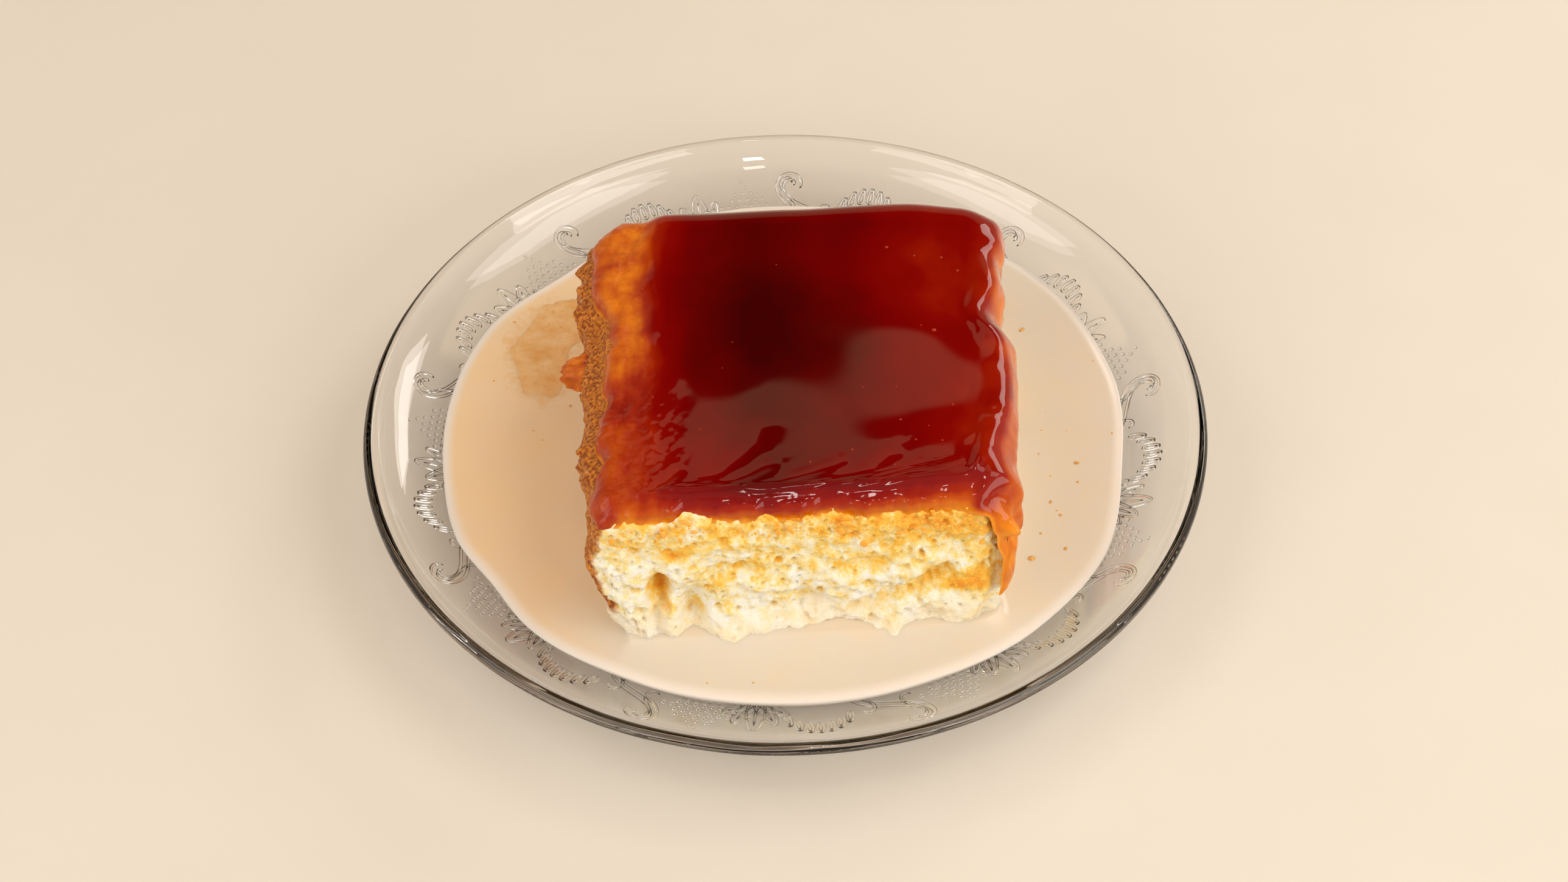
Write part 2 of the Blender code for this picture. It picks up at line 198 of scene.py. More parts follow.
def off_line(points: Array, line: Table) -> tuple[Array, Array]:
    """How far places lie from a bent line in the plane.

    Args:
        points: Places, shape (N, 2).
        line: The line's corner points.

    Returns:
        Distance of each place, above 0 on the line's left, and how far along it the nearest spot
        is, 0 to 1.
    """
    corners = np.array(line)
    steps = np.linalg.norm(np.diff(corners, axis=0), axis=1)
    starts = np.concatenate([[0.0], np.cumsum(steps)])
    best = np.full(len(points), np.inf)
    along = np.zeros(len(points))
    for start, end, begun, step in zip(corners, corners[1:], starts, steps):
        run = end - start
        t = np.clip((points - start) @ run / (run @ run), 0.0, 1.0)
        away = np.linalg.norm(points - start - t[:, None] * run, axis=1)
        left = np.where((points - start) @ np.array([-run[1], run[0]]) >= 0, 1.0, -1.0)
        nearer = away < np.abs(best)
        best = np.where(nearer, away * left, best)
        along = np.where(nearer, (begun + t * step) / starts[-1], along)
    return best, along


def smooth_line(points: Array, spacing: float) -> Array:
    """A smooth curve through a few points.

    Args:
        points: The points passed, shape (N, 2 or 3).
        spacing: Distance wanted between the curve's own points.

    Returns:
        The curve's points, evenly spaced.
    """
    ends = np.vstack([2 * points[0] - points[1], points, 2 * points[-1] - points[-2]])
    t = np.linspace(0, 1, SPAN_POINTS, endpoint=False)[:, None]
    spans = []
    for a, b, c, d in zip(ends, ends[1:], ends[2:], ends[3:]):
        spans.append(0.5 * (2 * b + (c - a) * t + (2 * a - 5 * b + 4 * c - d) * t ** 2
                            + (3 * b - a - 3 * c + d) * t ** 3))
    dense = np.vstack([*spans, points[-1:]])
    run = np.concatenate([[0.0], np.cumsum(np.linalg.norm(np.diff(dense, axis=0), axis=1))])
    count = max(int(run[-1] / spacing), 3)
    even = np.linspace(0, run[-1], count + 1)
    return np.stack([np.interp(even, run, dense[:, k]) for k in range(dense.shape[1])], axis=-1)


def spot(across: Array, along: Array, patch: Patch) -> Array:
    """Strength of one soft patch at places on a face.

    Args:
        across: Places across the face.
        along: Places along the face.
        patch: The patch's middle across and along, half width, half length, and strength.

    Returns:
        The strength, which fades out from the middle.
    """
    at_across, at_along, wide, long, strength = patch
    return strength * np.exp(-((across - at_across) / wide) ** 2 - ((along - at_along) / long) ** 2)


@dataclass(frozen=True)
class Noise:
    """Smooth unevenness of one strength, size and pattern."""

    amount: float
    size: float
    seed: int
    octaves: int = 1

    def at(self, points: Array) -> Array:
        """Its height at places in space, from -amount to amount."""
        return self.amount * lumps(points, self.size, self.seed, self.octaves)


# ---- meshes


@dataclass
class Shape:
    """Points and faces on their way to a mesh, with one value a point for each named mask."""

    points: Array
    faces: list[Array]
    masks: dict[str, Array] = field(default_factory=dict)

    @staticmethod
    def joined(shapes: "list[Shape]") -> "Shape":
        """All shapes as one, with the masks that the first one has.

        Args:
            shapes: Shapes that have the same masks.

        Returns:
            One shape that holds them all.
        """
        starts = np.concatenate([[0], np.cumsum([len(s.points) for s in shapes])[:-1]])
        faces = [f + start for s, start in zip(shapes, starts) for f in s.faces]
        masks = {name: np.concatenate([s.masks[name] for s in shapes]) for name in shapes[0].masks}
        return Shape(np.vstack([s.points for s in shapes]), faces, masks)

    def piece(self, name: str, material: Material) -> Thing:
        """Makes the object that rides on the cake's body.

        Args:
            name: The piece's name.
            material: Its finish.

        Returns:
            The new object, shaded smooth.
        """
        mesh = bpy.data.meshes.new(name)
        totals = np.concatenate([np.full(len(f), f.shape[1]) for f in self.faces])
        corners = np.concatenate([f.reshape(-1) for f in self.faces]).astype(np.int32)
        mesh.vertices.add(len(self.points))
        mesh.vertices.foreach_set("co", self.points.astype(np.float32).reshape(-1))
        mesh.loops.add(len(corners))
        mesh.loops.foreach_set("vertex_index", corners)
        mesh.polygons.add(len(totals))
        starts = np.concatenate([[0], np.cumsum(totals)[:-1]]).astype(np.int32)
        mesh.polygons.foreach_set("loop_start", starts)
        mesh.update(calc_edges=True)
        mesh.validate()
        for mask, values in self.masks.items():
            layer = mesh.attributes.new(mask, "FLOAT", "POINT")
            layer.data.foreach_set("value", values.astype(np.float32))
        mesh.materials.append(material)
        mesh.shade_smooth()
        made = bpy.data.objects.new(name, mesh)
        bpy.context.scene.collection.objects.link(made)
        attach(made, BODY)
        LOG.info("%s: %d faces", name, len(totals))
        return made


def lattice(rows: int, columns: int, close_rows: bool = False,
            close_columns: bool = False) -> Array:
    """Four-cornered faces of a net whose points are numbered row by row.

    Args:
        rows: Rows of points.
        columns: Points in a row.
        close_rows: Joins the last row to the first.
        close_columns: Joins the end of each row to its start.

    Returns:
        Corner numbers, shape (faces, 4).
    """
    across = np.arange(columns - (not close_columns))
    i, j = np.meshgrid(np.arange(rows - (not close_rows)), across, indexing="ij")
    i, j = i.reshape(-1), j.reshape(-1)
    below, beside = (i + 1) % rows, (j + 1) % columns
    return np.stack([i * columns + j, i * columns + beside, below * columns + beside,
                     below * columns + j], axis=-1)


def fan(ring: Array, middle: int) -> Array:
    """Three-cornered faces from one middle point to a closed ring of points."""
    return np.stack([ring, np.roll(ring, -1), np.full(len(ring), middle)], axis=-1)


def tube(path: Array, side: Array, up: Array, outline: Array) -> Shape:
    """A closed bead of one cross-section along a path, with pointed ends.

    Args:
        path: The path's points, shape (N, 3).
        side: Unit vector across the path at each point.
        up: Unit vector out of the surface at each point.
        outline: The cross-section as (across, up), shape (K, 2).

    Returns:
        The bead.
    """
    count, around = len(path), len(outline)
    from_end = np.minimum(np.arange(count), np.arange(count)[::-1])
    taper = np.sqrt(np.clip(from_end / TAPER_POINTS, TIP_AREA, 1.0))
    across = outline[:, 0][None, :, None] * taper[:, None, None] * side[:, None, :]
    high = outline[:, 1][None, :, None] * taper[:, None, None] * up[:, None, :]
    points = (path[:, None, :] + across + high).reshape(-1, 3)
    first, last = np.arange(around), np.arange(around) + (count - 1) * around
    faces = [lattice(count, around, close_columns=True), first[::-1][None, :], last[None, :]]
    return Shape(points, faces)


def sealed(face: Array, back: Array, grid: tuple[int, int]) -> tuple[Array, list[Array]]:
    """A closed sheet from the nets of its face and its back.

    Args:
        face: The face's points, row by row.
        back: The back's points in the same order.
        grid: Rows and columns of each net.

    Returns:
        All points, and the faces of the face, the back and the rim that joins them.
    """
    net, count = lattice(*grid), grid[0] * grid[1]
    number = np.arange(count).reshape(grid)
    rim = np.concatenate([number[0, :-1], number[:-1, -1], number[-1, :0:-1], number[:0:-1, 0]])
    wall = np.stack([rim, rim + count, np.roll(rim, -1) + count, np.roll(rim, -1)], axis=-1)
    return np.vstack([face, back]), [net, net[:, ::-1] + count, wall]


def pebble(rings: int, sides: int) -> tuple[Array, list[Array]]:
    """A ball of radius 1, from its low pole to its high one.

    Args:
        rings: Rings of points between the poles.
        sides: Points in each ring.

    Returns:
        Its points and faces.
    """
    tilt = np.linspace(-math.pi / 2, math.pi / 2, rings + 2)[1:-1]
    turn = np.arange(sides) * 2 * math.pi / sides
    ball = np.stack([np.outer(np.cos(tilt), np.cos(turn)), np.outer(np.cos(tilt), np.sin(turn)),
                     np.outer(np.sin(tilt), np.ones(sides))], axis=-1).reshape(-1, 3)
    points = np.vstack([ball, [[0, 0, -1], [0, 0, 1]]])
    bottom = fan(np.arange(sides)[::-1], len(ball))
    top = fan(np.arange(sides) + (rings - 1) * sides, len(ball) + 1)
    return points, [lattice(rings, sides, close_columns=True), bottom, top]


# ---- finishes

MIX, MATHS, RANGE = "ShaderNodeMix", "ShaderNodeMath", "ShaderNodeMapRange"
NOISE, RAMP, BUMP = "ShaderNodeTexNoise", "ShaderNodeValToRGB", "ShaderNodeBump"
MASK = "ShaderNodeAttribute"


def feed(tree: NodeTree, socket: Socket, value: object) -> None:
    """Gives a socket its value.

    Args:
        tree: The node tree of the socket's node.
        socket: The input.
        value: A number, a hex colour or another node's output.
    """
    if isinstance(value, Socket):
        tree.links.new(value, socket)
    else:
        socket.default_value = linear(value) if isinstance(value, str) else value


def add_node(tree: NodeTree, kind: str, inputs: dict[str | int, object],
             stops: tuple[tuple[float, str], ...] = (), out: str | int | None = None,
             **settings: object) -> Socket:
    """Adds one node with its settings and links.

    Args:
        tree: The node tree it joins.
        kind: The node's Blender type.
        inputs: By name or number, a number, a hex colour or another node's output.
        stops: Places and hex colours of a colour ramp.
        out: The output wanted, or None for the first one in use.
        **settings: Properties of the node itself.

    Returns:
        The node's output.
    """
    node = tree.nodes.new(kind)
    for name, value in settings.items():
        setattr(node, name, value)
    for name, value in inputs.items():
        used = [socket for socket in node.inputs if socket.enabled and socket.name == name]
        feed(tree, used[0] if used else node.inputs[name], value)
    for place, _ in stops[len(node.color_ramp.elements):] if stops else ():
        node.color_ramp.elements.new(place)
    for element, (place, code) in zip(node.color_ramp.elements if stops else (), stops):
        element.position, element.color = place, linear(code)
    if out is not None:
        return node.outputs[out]
    return next((socket for socket in node.outputs if socket.enabled), None)


class Surface:
    """A material being made: its node tree, its Principled shader and the object's own places."""

    def __init__(self, name: str, sockets: dict[str, float | tuple | str]) -> None:
        """Starts a material whose even values are set on the shader's own sockets.

        Args:
            name: The material's name.
            sockets: The even values, by socket name.
        """
        self.material = bpy.data.materials.new(name)
        self.material.use_nodes = True
        self.tree = self.material.node_tree
        self.shader = self.tree.nodes["Principled BSDF"]
        self.wear(sockets)
        self.places = self.add("ShaderNodeTexCoord", {}, out="Object")

    def add(self, kind: str, inputs: dict[str | int, object],
            **rest: object) -> Socket:
        """Adds a node to this material, as add_node() does."""
        return add_node(self.tree, kind, inputs, **rest)

    def wear(self, sockets: dict[str, object]) -> None:
        """Sets or links sockets of the shader by name."""
        for name, value in sockets.items():
            feed(self.tree, self.shader.inputs[name], value)


@dataclass(frozen=True)
class SoakedCrumbFinish:
    """Baked sponge soaked in three milks: open crumb that is cream where it was torn, amber where caramel
    ran in, and brown where it was skin against the tin. Its pores and hollows are painted a darker, warmer
    yellow, as their shade and warm bounce light."""

    stains: tuple[tuple[float, str], ...] = (
        (0.0, "#fffaf0"), (0.2, "#fff1d0"), (0.4, "#ffe090"), (0.6, "#ffc84c"),
        (0.8, "#ffb536"), (1.0, "#f79a1c"),
    )
    crust: str = "#e08a24"
    crust_dark: str = "#8f4208"
    milky: str = "#fdeed6"
    patch_size: float = 3.6 * MM
    grain_size: float = 0.8 * MM
    fine_size: float = 0.25 * MM
    relief: float = 0.45 * MM

    def material(self) -> Material:
        """Light scatters through the wet crumb, so it glows, and its film of milk glints.

        Returns:
            The material.
        """
        skin = Surface("soaked_sponge_crumb_baked", {
            "IOR": 1.38, "Subsurface Weight": 0.4, "Subsurface Radius": (1.0, 0.85, 0.6),
            "Subsurface Scale": 0.7 * MM, "Coat Roughness": 0.08, "Coat IOR": 1.34})
        add, places = skin.add, skin.places
        grain = add(NOISE, {"Vector": places, "Scale": 1 / self.grain_size, "Detail": 3.0,
                            "Roughness": 0.6})
        fine = add(NOISE, {"Vector": places, "Scale": 1 / self.fine_size, "Detail": 2.0})
        patches = add(NOISE, {"Vector": places, "Scale": 1 / self.patch_size, "Detail": 2.0})
        pore, soak, crust, milky = (add(MASK, {}, attribute_name=name, out="Fac")
                                    for name in ("pore", "soak", "crust", "milky"))
        drift = add(RANGE, {"Value": patches, "From Min": 0.3, "From Max": 0.7, "To Min": -0.24,
                            "To Max": 0.26})
        pits = add(RANGE, {"Value": grain, "From Min": 0.35, "From Max": 0.7, "To Min": -0.12,
                           "To Max": 0.16})
        # Painted shade and warm bounce light: pores and hollows are coloured darker and more orange.
        pore_shade = add(RANGE, {"Value": soak, "To Min": 0.44, "To Max": 0.5})
        pore_shade = add(MATHS, {0: pore, 1: pore_shade}, operation="MULTIPLY")
        stain = soak
        for more in (drift, pits):
            stain = add(MATHS, {0: stain, 1: more}, operation="ADD")
        stain = add(MATHS, {0: stain, 1: pore_shade}, operation="ADD", use_clamp=True)
        tone = add(RAMP, {"Fac": stain}, stops=self.stains, out="Color")
        milk_share = add(RANGE, {"Value": milky, "From Min": 0.1, "From Max": 0.9, "To Max": 0.72})
        tone = add(MIX, {"Factor": milk_share, "A": tone, "B": self.milky}, data_type="RGBA")
        brown_share = add(RANGE, {"Value": grain, "From Min": 0.38, "From Max": 0.6})
        brown = add(MIX, {"Factor": brown_share, "A": self.crust, "B": self.crust_dark},
                    data_type="RGBA")
        crust_share = add(RANGE, {"Value": crust, "From Min": 0.25, "From Max": 0.75})
        tone = add(MIX, {"Factor": crust_share, "A": tone, "B": brown}, data_type="RGBA")
        wet = add(RANGE, {"Value": grain, "From Min": 0.35, "From Max": 0.65, "To Min": 0.22,
                          "To Max": 0.5})
        film = add(RANGE, {"Value": crust, "From Min": 0.25, "From Max": 0.75, "To Min": 0.3,
                           "To Max": 0.04})
        height = add(MATHS, {0: fine, 1: grain}, operation="ADD")
        relief = add(BUMP, {"Height": height, "Distance": self.relief, "Strength": 0.8})
        skin.wear({"Base Color": tone, "Roughness": wet, "Coat Weight": film, "Normal": relief})
        return skin.material


@dataclass(frozen=True)
class CaramelFinish:
    """Caramel glaze, boiled sugar poured and set soft: black-red where deep, amber where it thins,
    under one unbroken mirror of a skin."""

    depths: tuple[tuple[float, str], ...] = (
        (0.0, "#eda53c"), (0.5, "#e0820f"), (0.9, "#c86408"), (1.25, "#b14304"), (1.6, "#981f02"),
        (2.0, "#7e0401"), (2.4, "#6e0000"), (2.8, "#580000"), (3.3, "#3c0000"),
    )
    deepest: float = 3.6
    speck_size: float = 0.35 * MM
    cloud_size: float = 3.0 * MM
    relief: float = 0.12 * MM

    def material(self) -> Material:
        """The colour follows the depth of syrup at each place, and the gloss comes from the shader.

        Returns:
            The material.
        """
        skin = Surface("caramel_glaze_poured", {
            "IOR": 1.37, "Subsurface Weight": 0.12, "Subsurface Radius": (1.0, 0.25, 0.05),
            "Subsurface Scale": 1.5 * MM})
        add, places = skin.add, skin.places
        specks = add(NOISE, {"Vector": places, "Scale": 1 / self.speck_size, "Detail": 2.0})
        cloud = add(NOISE, {"Vector": places, "Scale": 1 / self.cloud_size, "Detail": 3.0,
                            "Roughness": 0.6})
        rough = add(MASK, {}, attribute_name="rough", out="Fac")
        syrup = add(MASK, {}, attribute_name="depth", out="Fac")
        drift = add(RANGE, {"Value": cloud, "From Min": 0.25, "From Max": 0.75, "To Min": -0.25,
                            "To Max": 0.25})
        drift = add(MATHS, {0: drift, 1: rough}, operation="MULTIPLY")
        depth = add(MATHS, {0: syrup, 1: drift}, operation="ADD")
        share = add(MATHS, {0: depth, 1: self.deepest}, operation="DIVIDE")
        stops = tuple((millimetres / self.deepest, code) for millimetres, code in self.depths)
        tone = add(RAMP, {"Fac": share}, stops=stops, out="Color")
        crumbly = add(RANGE, {"Value": specks, "From Min": 0.3, "From Max": 0.7})
        height = add(MATHS, {0: crumbly, 1: rough}, operation="MULTIPLY")
        gloss = add(RANGE, {"Value": rough, "To Min": 0.05, "To Max": 0.18})
        relief = add(BUMP, {"Height": height, "Distance": self.relief, "Strength": 0.6})
        skin.wear({"Base Color": tone, "Roughness": gloss, "Normal": relief})
        return skin.material


@dataclass(frozen=True)
class SyrupFinish:
    """Thin caramel syrup, run off the glaze: clear amber drops, wet all over."""

    amber: str = "#e89a28"
    honey: str = "#f4b94a"
    cloud_size: float = 1.2 * MM

    def material(self) -> Material:
        """A wet skin over a warm body, so each drop has one sharp glint.

        Returns:
            The material.
        """
        skin = Surface("caramel_syrup_run", {
            "Roughness": 0.04, "IOR": 1.46, "Subsurface Weight": 0.5,
            "Subsurface Radius": (1.0, 0.4, 0.1), "Subsurface Scale": 1.2 * MM})
        cloud = skin.add(NOISE, {"Vector": skin.places, "Scale": 1 / self.cloud_size})
        tone = skin.add(MIX, {"Factor": cloud, "A": self.amber, "B": self.honey}, data_type="RGBA")
        skin.wear({"Base Color": tone})
        return skin.material


@dataclass(frozen=True)
class SweetMilkFinish:
    """Condensed and evaporated milk with cream, poured: opaque and smooth. Its tint is caramel stain beside
    the cake together with painted shade and orange bounce light, warmer on the left and paler to the front
    and right, and it has a painted highlight where it thins against the glass."""

    cream: str = "#ddd3c3"
    # Painted shade and orange bounce light from the crust, mixed with caramel stain beside the cake.
    stain_and_shade_tone: str = "#f1d1a4"
    # A painted highlight along the milk's thin edge against the glass.
    edge: str = "#f1e6dc"
    drowned: str = "#e4b070"
    cloud_size: float = 11 * MM
    blotch_size: float = 1.6 * MM

    def material(self) -> Material:
        """Soft light inside and a clean, even gloss on top.

        Returns:
            The material.
        """
        skin = Surface("sweet_milk_poured", {
            "Roughness": 0.16, "IOR": 1.36, "Subsurface Weight": 0.4,
            "Subsurface Radius": (1.0, 0.7, 0.45), "Subsurface Scale": 2.5 * MM})
        add, places = skin.add, skin.places
        cloud = add(NOISE, {"Vector": places, "Scale": 1 / self.cloud_size, "Detail": 3.0})
        blotch = add(NOISE, {"Vector": places, "Scale": 1 / self.blotch_size, "Detail": 3.0})
        stain, edge, sunk = (add(MASK, {}, attribute_name=name, out="Fac")
                             for name in ("stain", "edge", "sunk"))
        drift = add(RANGE, {"Value": cloud, "From Min": 0.3, "From Max": 0.7, "To Min": -0.1,
                            "To Max": 0.1})
        # The stain mask is caramel stain beside the cake plus painted shade and bounce light, warmer on the
        # left.
        stain = add(MATHS, {0: stain, 1: drift}, operation="ADD", use_clamp=True)
        tone = add(MIX, {"Factor": stain, "A": self.cream, "B": self.stain_and_shade_tone}, data_type="RGBA")
        # Painted highlight: paler where the milk thins against the glass.
        tone = add(MIX, {"Factor": edge, "A": tone, "B": self.edge}, data_type="RGBA")
        patch = add(RANGE, {"Value": blotch, "From Min": 0.3, "From Max": 0.7, "To Min": -0.2,
                            "To Max": 0.2})
        under = add(MATHS, {0: sunk, 1: patch}, operation="ADD")
        under = add(RANGE, {"Value": under, "From Min": 0.25, "From Max": 1.0})
        tone = add(MIX, {"Factor": under, "A": tone, "B": self.drowned}, data_type="RGBA")
        skin.wear({"Base Color": tone})
        return skin.material


@dataclass(frozen=True)
class DrownedCrustFinish:
    """A flake of baked crust under a film of milk: pale orange with browner blisters."""

    pale: str = "#e9c594"
    orange: str = "#dda25a"
    brown: str = "#cf8c3e"
    blotch_size: float = 5.0 * MM
    blister_size: float = 1.3 * MM
    relief: float = 0.08 * MM

    def material(self) -> Material:
        """Blotches of two sizes, and the same wet gloss as the milk that covers it.

        Returns:
            The material.
        """
        skin = Surface("drowned_crust_baked", {
            "Roughness": 0.2, "IOR": 1.36, "Subsurface Weight": 0.3,
            "Subsurface Radius": (1.0, 0.6, 0.3), "Subsurface Scale": 1.5 * MM})
        add, places = skin.add, skin.places
        blotch = add(NOISE, {"Vector": places, "Scale": 1 / self.blotch_size, "Detail": 3.0})
        blister = add(NOISE, {"Vector": places, "Scale": 1 / self.blister_size, "Detail": 2.0})
        share = add(RANGE, {"Value": blotch, "From Min": 0.3, "From Max": 0.7})
        tone = add(MIX, {"Factor": share, "A": self.pale, "B": self.orange}, data_type="RGBA")
        share = add(RANGE, {"Value": blister, "From Min": 0.62, "From Max": 0.9})
        tone = add(MIX, {"Factor": share, "A": tone, "B": self.brown}, data_type="RGBA")
        relief = add(BUMP, {"Height": blister, "Distance": self.relief, "Strength": 0.5})
        skin.wear({"Base Color": tone, "Normal": relief})
        return skin.material


@dataclass(frozen=True)
class ToastedCrumbFinish:
    """Crumbs of toasted crust, broken off: matt and uneven, orange to brown."""

    light: str = "#e8b466"
    dark: str = "#d09038"
    grain_size: float = 0.33 * MM

    def material(self) -> Material:
        """Two browns in grains a third of a millimetre wide, so each crumb differs.

        Returns:
            The material.
        """
        skin = Surface("toasted_crumb_broken", {"Roughness": 0.5, "IOR": 1.4})
        grain = skin.add(NOISE, {"Vector": skin.places, "Scale": 1 / self.grain_size})
        share = skin.add(RANGE, {"Value": grain, "From Min": 0.4, "From Max": 0.6})
        tone = skin.add(MIX, {"Factor": share, "A": self.light, "B": self.dark}, data_type="RGBA")
        skin.wear({"Base Color": tone})
        return skin.material


@dataclass(frozen=True)
class PressedGlassFinish:
    """Soda-lime glass, pressed in a mould: clear and smooth, with the faint waviness that the
    mould leaves, which breaks up what is seen through it."""

    tint: str = "#ffffff"
    wave_size: float = 9 * MM
    relief: float = 0.06 * MM

    def material(self) -> Material:
        """Clear all through; the glints and the dark rim come from refraction.

        Returns:
            The material.
        """
        skin = Surface("soda_lime_glass_pressed", {
            "Base Color": self.tint, "Roughness": 0.015, "IOR": 1.5, "Transmission Weight": 1.0})
        wave = skin.add(NOISE, {"Vector": skin.places, "Scale": 1 / self.wave_size, "Detail": 1.0})
        relief = skin.add(BUMP, {"Height": wave, "Distance": self.relief, "Strength": 0.3})
        skin.wear({"Normal": relief})
        return skin.material


# ---- the forms that pieces share


@dataclass(frozen=True)
class DishForm:
    """The plate's section: a flat floor, a conical wall that curls up, and a rounded lip."""

    rim_radius: float = 0.1
    rim_top: float = 0.024
    lip_radius: float = 0.0014
    floor_height: float = 0.0071
    floor_radius: float = 0.062
    wall_slope: float = 0.44
    wall_blend: float = 0.01
    curl_start: float = 0.09
    curl_rate: float = 42.5
    thickness: float = 0.003
    under_shift: float = 0.001
    under_drop: float = 0.00318

    def height(self, radius: Array | float) -> Array:
        """Height of the plate's upper surface.

        Args:
            radius: Distance from the plate's centre.

        Returns:
            Height over the table.
        """
        run = np.maximum(np.asarray(radius, float) - self.floor_radius, 0.0)
        blend = np.minimum(run, self.wall_blend)
        rise = self.wall_slope * (blend * blend / (2 * self.wall_blend) + run - blend)
        curl = self.curl_rate * np.maximum(radius - self.curl_start, 0.0) ** 2
        return self.floor_height + rise + curl

    def underside(self, radius: Array | float) -> Array:
        """Height of the plate's lower surface outside its foot, at a distance from its centre."""
        return self.height(np.asarray(radius) - self.under_shift) - self.under_drop


@dataclass(frozen=True)
class CakeForm:
    """The rounded block of cake and how each of its sides bends away from it."""

    dish: DishForm = DishForm()
    centre: Pair = (0.0019, -0.0105)
    half: Pair = (0.0486, 0.048)
    top: float = 0.0504
    corner: float = 0.007
    edge: float = 0.004
    gap: float = 0.0003
    ease_start: float = 0.35
    swell: float = 0.0003
    swell_length: float = 0.021
    left_edge: Table = ((-0.0475, 0.0011), (-0.0315, 0.0019), (-0.0215, 0.0003), (-0.0135, 0.0017),
                        (-0.0055, 0.0007), (0.0085, 0.0004), (0.0155, 0.0001), (0.0215, -0.0023),
                        (0.0365, -0.0023), (0.0445, -0.0003))
    left_flare: Table = ((0.007, 0.009), (0.014, 0.008), (0.02, 0.005), (0.028, 0.0015),
                         (0.036, 0.0), (0.042, 0.002), (0.0504, 0.0042))
    right_edge: Table = ((-0.048, -0.0022), (-0.041, -0.0006), (-0.033, -0.0016),
                         (-0.0155, -0.0001), (-0.0035, 0.0005), (0.0045, 0.0009), (0.0125, -0.0019),
                         (0.0225, -0.0003), (0.0305, -0.001), (0.0385, 0.0007), (0.048, 0.0015))
    right_flare: Table = ((0.007, -0.003), (0.014, -0.001), (0.026, 0.0016), (0.033, 0.0012),
                          (0.038, -0.0002), (0.045, -0.0008), (0.0504, -0.0026))
    front_edge: Table = ((-0.048, -0.002), (-0.02, -0.0008), (0.01, 0.0004), (0.048, 0.0024))
    front_flare: Table = ((0.007, -0.005), (0.014, -0.0045), (0.028, -0.0025), (0.04, -0.001),
                          (0.0504, 0.0015))
    back_edge: Table = ((-0.048, -0.002), (-0.026, -0.0012), (0.0, -0.0004), (0.028, 0.0014),
                        (0.048, -0.0012))

    @property
    def core(self) -> Pair:
        """Half sizes of the block inside its rounded corners."""
        return self.half[0] - self.corner, self.half[1] - self.corner

    def bent(self, x: Array, y: Array, z: Array) -> Array:
        """Bends places on the plain block into the uneven cake, standing on the plate.

        Args:
            x: Places across, from the block's middle.
            y: Places back, from the block's middle.
            z: Heights.

        Returns:
            The places on the cake, shape (N, 3).
        """
        left = ease(-x / self.half[0], self.ease_start, 1.0)
        right = ease(x / self.half[0], self.ease_start, 1.0)
        front = ease(-y / self.half[1], self.ease_start, 1.0)
        back = ease(y / self.half[1], self.ease_start, 1.0)
        bent_x = self.centre[0] + x
        bent_x = bent_x + left * (between(self.left_edge, y) + between(self.left_flare, z))
        bent_x = bent_x + right * (between(self.right_edge, y) + between(self.right_flare, z))
        bent_y = self.centre[1] + y
        bent_y = bent_y + front * (between(self.front_edge, x) + between(self.front_flare, z))
        bent_y = bent_y + back * between(self.back_edge, x)
        bottom = self.dish.height(np.hypot(bent_x, bent_y)) + self.gap
        level = np.stack([x, y, np.zeros_like(x)], axis=-1)
        swell = self.swell * lumps(level, self.swell_length, 11)
        share = (z - self.dish.floor_height) / (self.top - self.dish.floor_height)
        return np.stack([bent_x, bent_y, bottom + (self.top + swell - bottom) * share], axis=-1)

    def skin(self, u: Array, v: Array, lift: Array | float) -> Array:
        """Places on the cake's skin, which runs over the top and on down the sides.

        Args:
            u: Distance from the middle across, measured along the skin.
            v: Distance from the middle back, measured along the skin.
            lift: How far the place stands out from the skin.

        Returns:
            The places, shape (N, 3).
        """
        core_x, core_y = self.core
        qx, qy = np.clip(u, -core_x, core_x), np.clip(v, -core_y, core_y)
        ex, ey = u - qx, v - qy
        rho = np.hypot(ex, ey)
        flat = self.corner - self.edge
        turn = np.clip((rho - flat) / self.edge, 0.0, math.pi / 2)
        out = np.minimum(rho, flat) + (self.edge + lift) * np.sin(turn)
        down = np.maximum(rho - flat - self.edge * math.pi / 2, 0.0)
        z = self.top - self.edge + (self.edge + lift) * np.cos(turn) - down
        share = out / np.where(rho > 0, rho, 1.0)
        return self.bent(qx + ex * share, qy + ey * share, z)

    def outline(self, spacings: tuple[float, float, float, float],
                arc: float) -> tuple[Array, Array]:
        """Stations round the block, anticlockwise from the left end of its front.

        Args:
            spacings: Distance between stations on the front, right, back and left.
            arc: Distance between stations round the upright corners.

        Returns:
            The core point of each station, and its unit vector outwards.
        """
        corners = np.array([(-1, -1), (1, -1), (1, 1), (-1, 1)]) * np.array(self.core)
        cores, angles = [], []
        for side, spacing in enumerate(spacings):
            start, stop = corners[side], corners[(side + 1) % 4]
            facing = math.pi / 2 * (side - 1)
            count = int(np.linalg.norm(stop - start) / spacing)
            cores.append(start + np.linspace(0, 1, count, endpoint=False)[:, None] * (stop - start))
            angles.append(np.full(count, facing))
            turns = int(self.corner * math.pi / 2 / arc)
            cores.append(np.tile(stop, (turns, 1)))
            angles.append(facing + np.linspace(0, math.pi / 2, turns, endpoint=False))
        turn = np.concatenate(angles)
        return np.vstack(cores), np.stack([np.cos(turn), np.sin(turn)], axis=-1)


# ---- sponge


